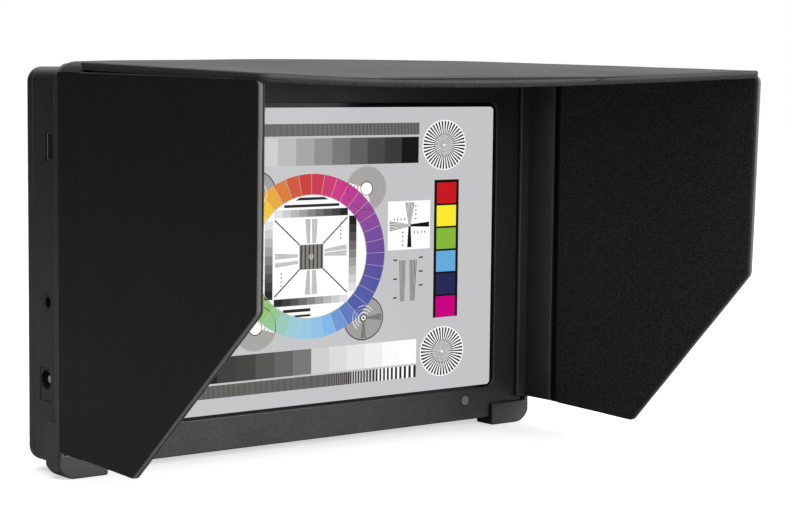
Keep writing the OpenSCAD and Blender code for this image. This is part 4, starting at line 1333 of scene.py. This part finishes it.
class MONITOR_OT_stage(bpy.types.Operator):
    """Sets the camera, the lights, the white surroundings and the floor"""

    bl_idname = "monitor.stage"
    bl_label = "Stage"

    def camera(self):
        """The photograph's camera, solved from the corners of the lit picture."""
        yaw, pitch, roll = (math.radians(a) for a in CAMERA_TURN)
        forward = Vector((
            math.sin(yaw) * math.cos(pitch), math.cos(yaw) * math.cos(pitch), -math.sin(pitch)
        ))
        right = Vector((math.cos(yaw), -math.sin(yaw), 0))
        up = right.cross(forward)
        across = right * math.cos(roll) + up * math.sin(roll)
        over = up * math.cos(roll) - right * math.sin(roll)
        turn = Matrix((across, over, -forward)).transposed().to_4x4()
        data = bpy.data.cameras.new("camera")
        data.lens = CAMERA_LENS
        data.sensor_width = SENSOR_WIDTH
        data.clip_start = NEAREST_SEEN
        camera = bpy.data.objects.new("camera", data)
        camera.matrix_world = Matrix.Translation(CAMERA_PLACE) @ turn
        bpy.context.scene.collection.objects.link(camera)
        bpy.context.scene.camera = camera

    def light(self, name, position, target, size, power):
        """A rectangular lamp that looks at a point."""
        data = bpy.data.lights.new(name, "AREA")
        data.shape = "RECTANGLE"
        data.size, data.size_y = size
        data.energy = power
        lamp = bpy.data.objects.new(name, data)
        lamp.location = position
        lamp.rotation_euler = (Vector(target) - Vector(position)).to_track_quat("-Z", "Y").to_euler()
        bpy.context.scene.collection.objects.link(lamp)
        lamp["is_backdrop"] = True

    def white_for_camera(self, tree, shader, white, output):
        """Shows the camera, mirrors and glass plain white, and everything else the shader."""
        path = tree.nodes.new("ShaderNodeLightPath")
        seen = path.outputs["Is Camera Ray"]
        for kind in ("Is Glossy Ray", "Is Transmission Ray"):
            either = tree.nodes.new("ShaderNodeMath")
            either.operation = "MAXIMUM"
            tree.links.new(seen, either.inputs[0])
            tree.links.new(path.outputs[kind], either.inputs[1])
            seen = either.outputs[0]
        mix = tree.nodes.new("ShaderNodeMixShader")
        tree.links.new(seen, mix.inputs[0])
        tree.links.new(shader.outputs[0], mix.inputs[1])
        tree.links.new(white.outputs[0], mix.inputs[2])
        tree.links.new(mix.outputs[0], output.inputs["Surface"])

    def surroundings(self):
        """A dim white world behind a white background."""
        world = bpy.data.worlds.new("studio")
        world.use_nodes = True
        tree = world.node_tree
        dim = tree.nodes["Background"]
        dim.inputs["Color"].default_value = (1, 1, 1, 1)
        dim.inputs["Strength"].default_value = WORLD_STRENGTH
        white = tree.nodes.new("ShaderNodeBackground")
        white.inputs["Color"].default_value = (1, 1, 1, 1)
        white.inputs["Strength"].default_value = 1.0
        self.white_for_camera(tree, dim, white, tree.nodes["World Output"])
        bpy.context.scene.world = world

    def square(self, name, half):
        """A flat square in the scene."""
        bm = bmesh.new()
        bmesh.ops.create_grid(bm, x_segments=1, y_segments=1, size=half)
        obj = bpy.data.objects.new(name, mesh_data(name, bm))
        bpy.context.scene.collection.objects.link(obj)
        return obj

    def dark_card(self):
        """A black card beside the left rear, hidden from the camera, that keeps the left faces dark."""
        card = self.square("dark_card", 0.5)
        card.matrix_world = (
            Matrix.Translation(CARD_PLACE) @ Matrix.Rotation(math.radians(CARD_TURN), 4, "Z")
            @ Matrix.Rotation(math.radians(90), 4, "X") @ Matrix.Diagonal((*CARD_SIZE, 1, 1))
        )
        card.data.materials.append(surface("dark_card", (0.01, 0.01, 0.01), 1.0, Specular_IOR_Level=0.0))
        card.visible_camera = False
        card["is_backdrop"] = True

    def floor(self):
        """A white floor just under the monitor, which throws back less light than the camera sees."""
        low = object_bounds()[0][2] - FLOOR_GAP
        floor = self.square("floor", FLOOR_HALF)
        for vert in floor.data.vertices:
            vert.co.z = low
        material = surface("floor", colours().floor, 0.9, Specular_IOR_Level=0.0)
        tree = material.node_tree
        shader = tree.nodes["Principled BSDF"]
        shader.inputs["Emission Color"].default_value = (1, 1, 1, 1)
        path = tree.nodes.new("ShaderNodeLightPath")
        lift = tree.nodes.new("ShaderNodeMath")
        lift.operation = "MULTIPLY"
        lift.inputs[1].default_value = FLOOR_LIFT
        tree.links.new(path.outputs["Is Camera Ray"], lift.inputs[0])
        tree.links.new(lift.outputs[0], shader.inputs["Emission Strength"])
        seen = tree.nodes.new("ShaderNodeMix")
        seen.data_type = "RGBA"
        seen.inputs[MIX_FIRST].default_value = (*FLOOR_BOUNCE, 1)
        seen.inputs[MIX_SECOND].default_value = (*colours().floor, 1)
        tree.links.new(path.outputs["Is Camera Ray"], seen.inputs[0])
        tree.links.new(seen.outputs[MIX_OUT], shader.inputs["Base Color"])
        floor.data.materials.append(material)
        floor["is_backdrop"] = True

    def execute(self, context):
        self.camera()
        self.surroundings()
        for values in LIGHTS:
            self.light(*values)
        self.floor()
        self.dark_card()
        context.scene.view_settings.view_transform = "Standard"
        return {"FINISHED"}


class MONITOR_OT_finishes(bpy.types.Operator):
    """Gives every CAD part its material"""

    bl_idname = "monitor.finishes"
    bl_label = "Finishes"

    def execute(self, context):
        for node, obj in frame["nodes"].items():
            slot = slot_of(node)
            obj.data.materials.clear()
            obj.data.materials.append(finish_of("panel" if slot == "display" else slot))
        return {"FINISHED"}


class MONITOR_OT_casing(bpy.types.Operator):
    """Softens the casing, the hood's frame, the battery plate, the sockets and the buttons"""

    bl_idname = "monitor.casing"
    bl_label = "Casing and small parts"

    def execute(self, context):
        s = sizes()
        rim_soft = s.outline_soft * 1.8
        thin_soft = s.outline_soft * 0.6
        for node in ("front_casing", "rear_cover"):
            softened(node, s.outline_soft, s.detail_soft)
        lower_frame(softened("hood_frame", rim_soft, s.detail_soft))
        softened("battery_plate", thin_soft, s.detail_soft)
        for name in ("power", "input", "menu", "down", "up", "exit"):
            softened(name + "_button", thin_soft, thin_soft)
        for node in ("battery_latch", "small_video_socket", "headphone_socket", "power_socket",
                     "video_socket", "lamp_ring", "cover_screws"):
            softened(node, s.detail_soft, s.detail_soft)
        return {"FINISHED"}


class MONITOR_OT_picture(bpy.types.Operator):
    """Draws the test picture on the screen"""

    bl_idname = "monitor.picture"
    bl_label = "Test picture"

    def execute(self, context):
        s = sizes()
        low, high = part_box("display_glass")
        drop = 0.3 * MM
        middle = ((low.x + high.x) / 2, (low.z + high.z) / 2 - drop)
        chart = Chart(low.y, s.picture_layer, middle)
        draw_chart(chart, s.picture_w / MM, s.picture_h / MM)
        bm = bmesh.new()
        tints = bm.verts.layers.float_color.new("tint")
        verts = [bm.verts.new(p) for p in chart.points]
        for vert, colour in zip(verts, chart.tints):
            vert[tints] = colour
        for face in chart.faces:
            bm.faces.new([verts[i] for i in face])
        bmesh.ops.recalc_face_normals(bm, faces=bm.faces)
        obj = piece("test_picture", mesh_data("test_picture", bm), "display")
        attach(obj, "monitor")
        return {"FINISHED"}


class MONITOR_OT_leather(bpy.types.Operator):
    """Covers the hood's rim and flaps with one folded sheet of leather a side"""

    bl_idname = "monitor.leather"
    bl_label = "Leather"

    HEM = 3 * MM
    CREASE = 50
    BEND_HALF = 1.4 * MM  # from the fold to where a sheet is all rim or all flap
    BAR_INSET = 0.9 * MM
    # How strongly each sheet's wrapped edges are painted light grey: partly wear, partly painted highlight.
    SIDE_EDGE_WEAR_AND_HIGHLIGHT = 0.9
    TOP_EDGE_WEAR_AND_HIGHLIGHT = 0.25
    CORNER_TURN = 1.28  # how far the top sheet runs round the rim's corner, in radians

    def side(self, name, sign, seed):
        """One side's sheet, from the rim's wall over the fold to the flap's edges."""
        s = sizes()
        skin_x, fold_y, _ = fold()
        low_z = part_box(name + "_rim_leather")[0].z
        high_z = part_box(name + "_flap_cover")[1].z
        outline = [(low_z, -s.strip_back, 0), (high_z, -s.strip_back, 0), (high_z, s.flap_start, 0)]
        outline += [corner for corner in side_outline(s.flap_start) if corner[1] > 2 * MM]
        bar = (s.side_rear_z + self.BAR_INSET, high_z - self.BAR_INSET)
        bm = leather_cover(outline, bar, [], self.SIDE_EDGE_WEAR_AND_HIGHLIGHT)
        settle(bm, seed)
        move_to(bm, side_place(sign))
        obj = piece(name + "_leather", mesh_from(name + "_leather", bm, self.CREASE), "leather")
        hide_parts(name + "_rim_leather", name + "_flap_cover")
        x = sign * skin_x
        rear = (x, fold_y + self.BEND_HALF, 0.06)
        front = (x, fold_y - self.BEND_HALF, 0.06)
        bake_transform(obj, "hood", name + "_flap", rear, front)

        def change(co):
            up, out = side_change(sign, co.z, fold_y - co.y)
            return Vector((0, -out, up))

        bent(name, change)

    def top(self, seed):
        """The top sheet, which runs down round the rim's corners behind the fold."""
        s = sizes()
        skin_x, fold_y, skin_z = fold()
        r = s.frame_r + s.leather_t
        flat = skin_x - r
        wide = flat + r * self.CORNER_TURN
        slit = s.flap_start
        half = [
            (wide, -s.strip_back, 0), (wide, -slit, 0), (flat, -slit, 0), (flat, slit, 0),
            (skin_x, slit, 0.8 * MM), (skin_x, top_length(), s.top_corner),
        ]
        outline = half + [(-x, u, radius) for x, u, radius in reversed(half)]
        turns = [flat + k * 1.1 * MM for k in range(13)]
        turns = [place for place in turns if place < wide - 0.1 * MM]
        bar = (-skin_x + self.BAR_INSET, skin_x - self.BAR_INSET)
        bm = leather_cover(outline, bar, turns + [-place for place in turns], self.TOP_EDGE_WEAR_AND_HIGHLIGHT)
        settle(bm, seed)
        move_to(bm, top_place())
        obj = piece("top_leather", mesh_from("top_leather", bm, self.CREASE), "leather")
        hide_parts("top_rim_leather", "top_flap_cover")
        rear = (0, fold_y + self.BEND_HALF, skin_z)
        front = (0, fold_y - self.BEND_HALF, skin_z)
        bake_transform(obj, "hood", "top_flap", rear, front)

        def change(co):
            side, up = top_change(co.x, (fold_y - co.y) / s.top_reach)
            return Vector((side, 0, up))

        bent("top", change)

    def execute(self, context):
        self.side("left", -1, 3.1)
        self.side("right", 1, 8.7)
        self.top(5.3)
        return {"FINISHED"}


class MONITOR_OT_linings(bpy.types.Operator):
    """Lines the flaps with ribbed knit that has loose fibres at its edges"""

    bl_idname = "monitor.linings"
    bl_label = "Linings"

    def line(self, name, loop, axis, place, seed):
        """One flap's lining and the fibres round it."""
        s = sizes()
        mesh = lining_mesh(name + "_lining", loop, axis, place)
        fuzz = piece(name + "_fuzz", without_back(mesh), "lining")
        panel = piece(name + "_lining", mesh, "lining")
        grow(panel, self.ribs, {"Height": s.rib_height, "Material": finish_of("lining")})
        grow(fuzz, self.fibres, {
            "Density": FIBRE_DENSITY, "Length": s.fibre_length, "Radius": s.fibre_radius,
            "Seed": seed, "Material": finish_of("fibre"),
        })
        for obj in (panel, fuzz):
            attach(obj, name + "_flap")
        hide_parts(name + "_flap_lining")

    def execute(self, context):
        s = sizes()
        self.ribs = rib_group()
        self.fibres = fibre_group()
        step = 3 * MM
        loop = rounded(side_outline(s.stiff_start), step)
        for name, sign, seed in (("left", -1, 1), ("right", 1, 2)):
            self.line(name, loop, 0, side_place(sign), seed)
        skin_x = fold()[0]
        front = top_length()
        near_r = 0.5 * MM
        corners = [
            (-skin_x, s.stiff_start, near_r), (skin_x, s.stiff_start, near_r),
            (skin_x, front, s.top_corner), (-skin_x, front, s.top_corner),
        ]
        self.line("top", rounded(corners, step), 1, top_place(), 3)
        return {"FINISHED"}


STEPS = (
    MONITOR_OT_finishes, MONITOR_OT_casing, MONITOR_OT_picture, MONITOR_OT_leather, MONITOR_OT_linings,
    MONITOR_OT_stage,
)


class MONITOR_PT_build(bpy.types.Panel):
    """Lists the monitor's build steps"""

    bl_label = "Field monitor"
    bl_idname = "MONITOR_PT_build"
    bl_space_type = "VIEW_3D"
    bl_region_type = "UI"
    bl_category = "Monitor"

    def draw(self, context):
        for step in STEPS:
            self.layout.operator(step.bl_idname)


CLASSES = (MonitorSizes, MonitorColours, *STEPS, MONITOR_PT_build)


def register():
    for cls in CLASSES:
        bpy.utils.register_class(cls)
    bpy.types.Scene.monitor_sizes = bpy.props.PointerProperty(type=MonitorSizes)
    bpy.types.Scene.monitor_colours = bpy.props.PointerProperty(type=MonitorColours)


def unregister():
    del bpy.types.Scene.monitor_colours
    del bpy.types.Scene.monitor_sizes
    for cls in reversed(CLASSES):
        bpy.utils.unregister_class(cls)


def main():
    """Builds everything in order."""
    register()
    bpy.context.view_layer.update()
    bpy.ops.monitor.finishes()
    bpy.ops.monitor.casing()
    bpy.ops.monitor.picture()
    bpy.ops.monitor.leather()
    bpy.ops.monitor.linings()
    bpy.ops.monitor.stage()


if __name__ == "__main__":
    main()
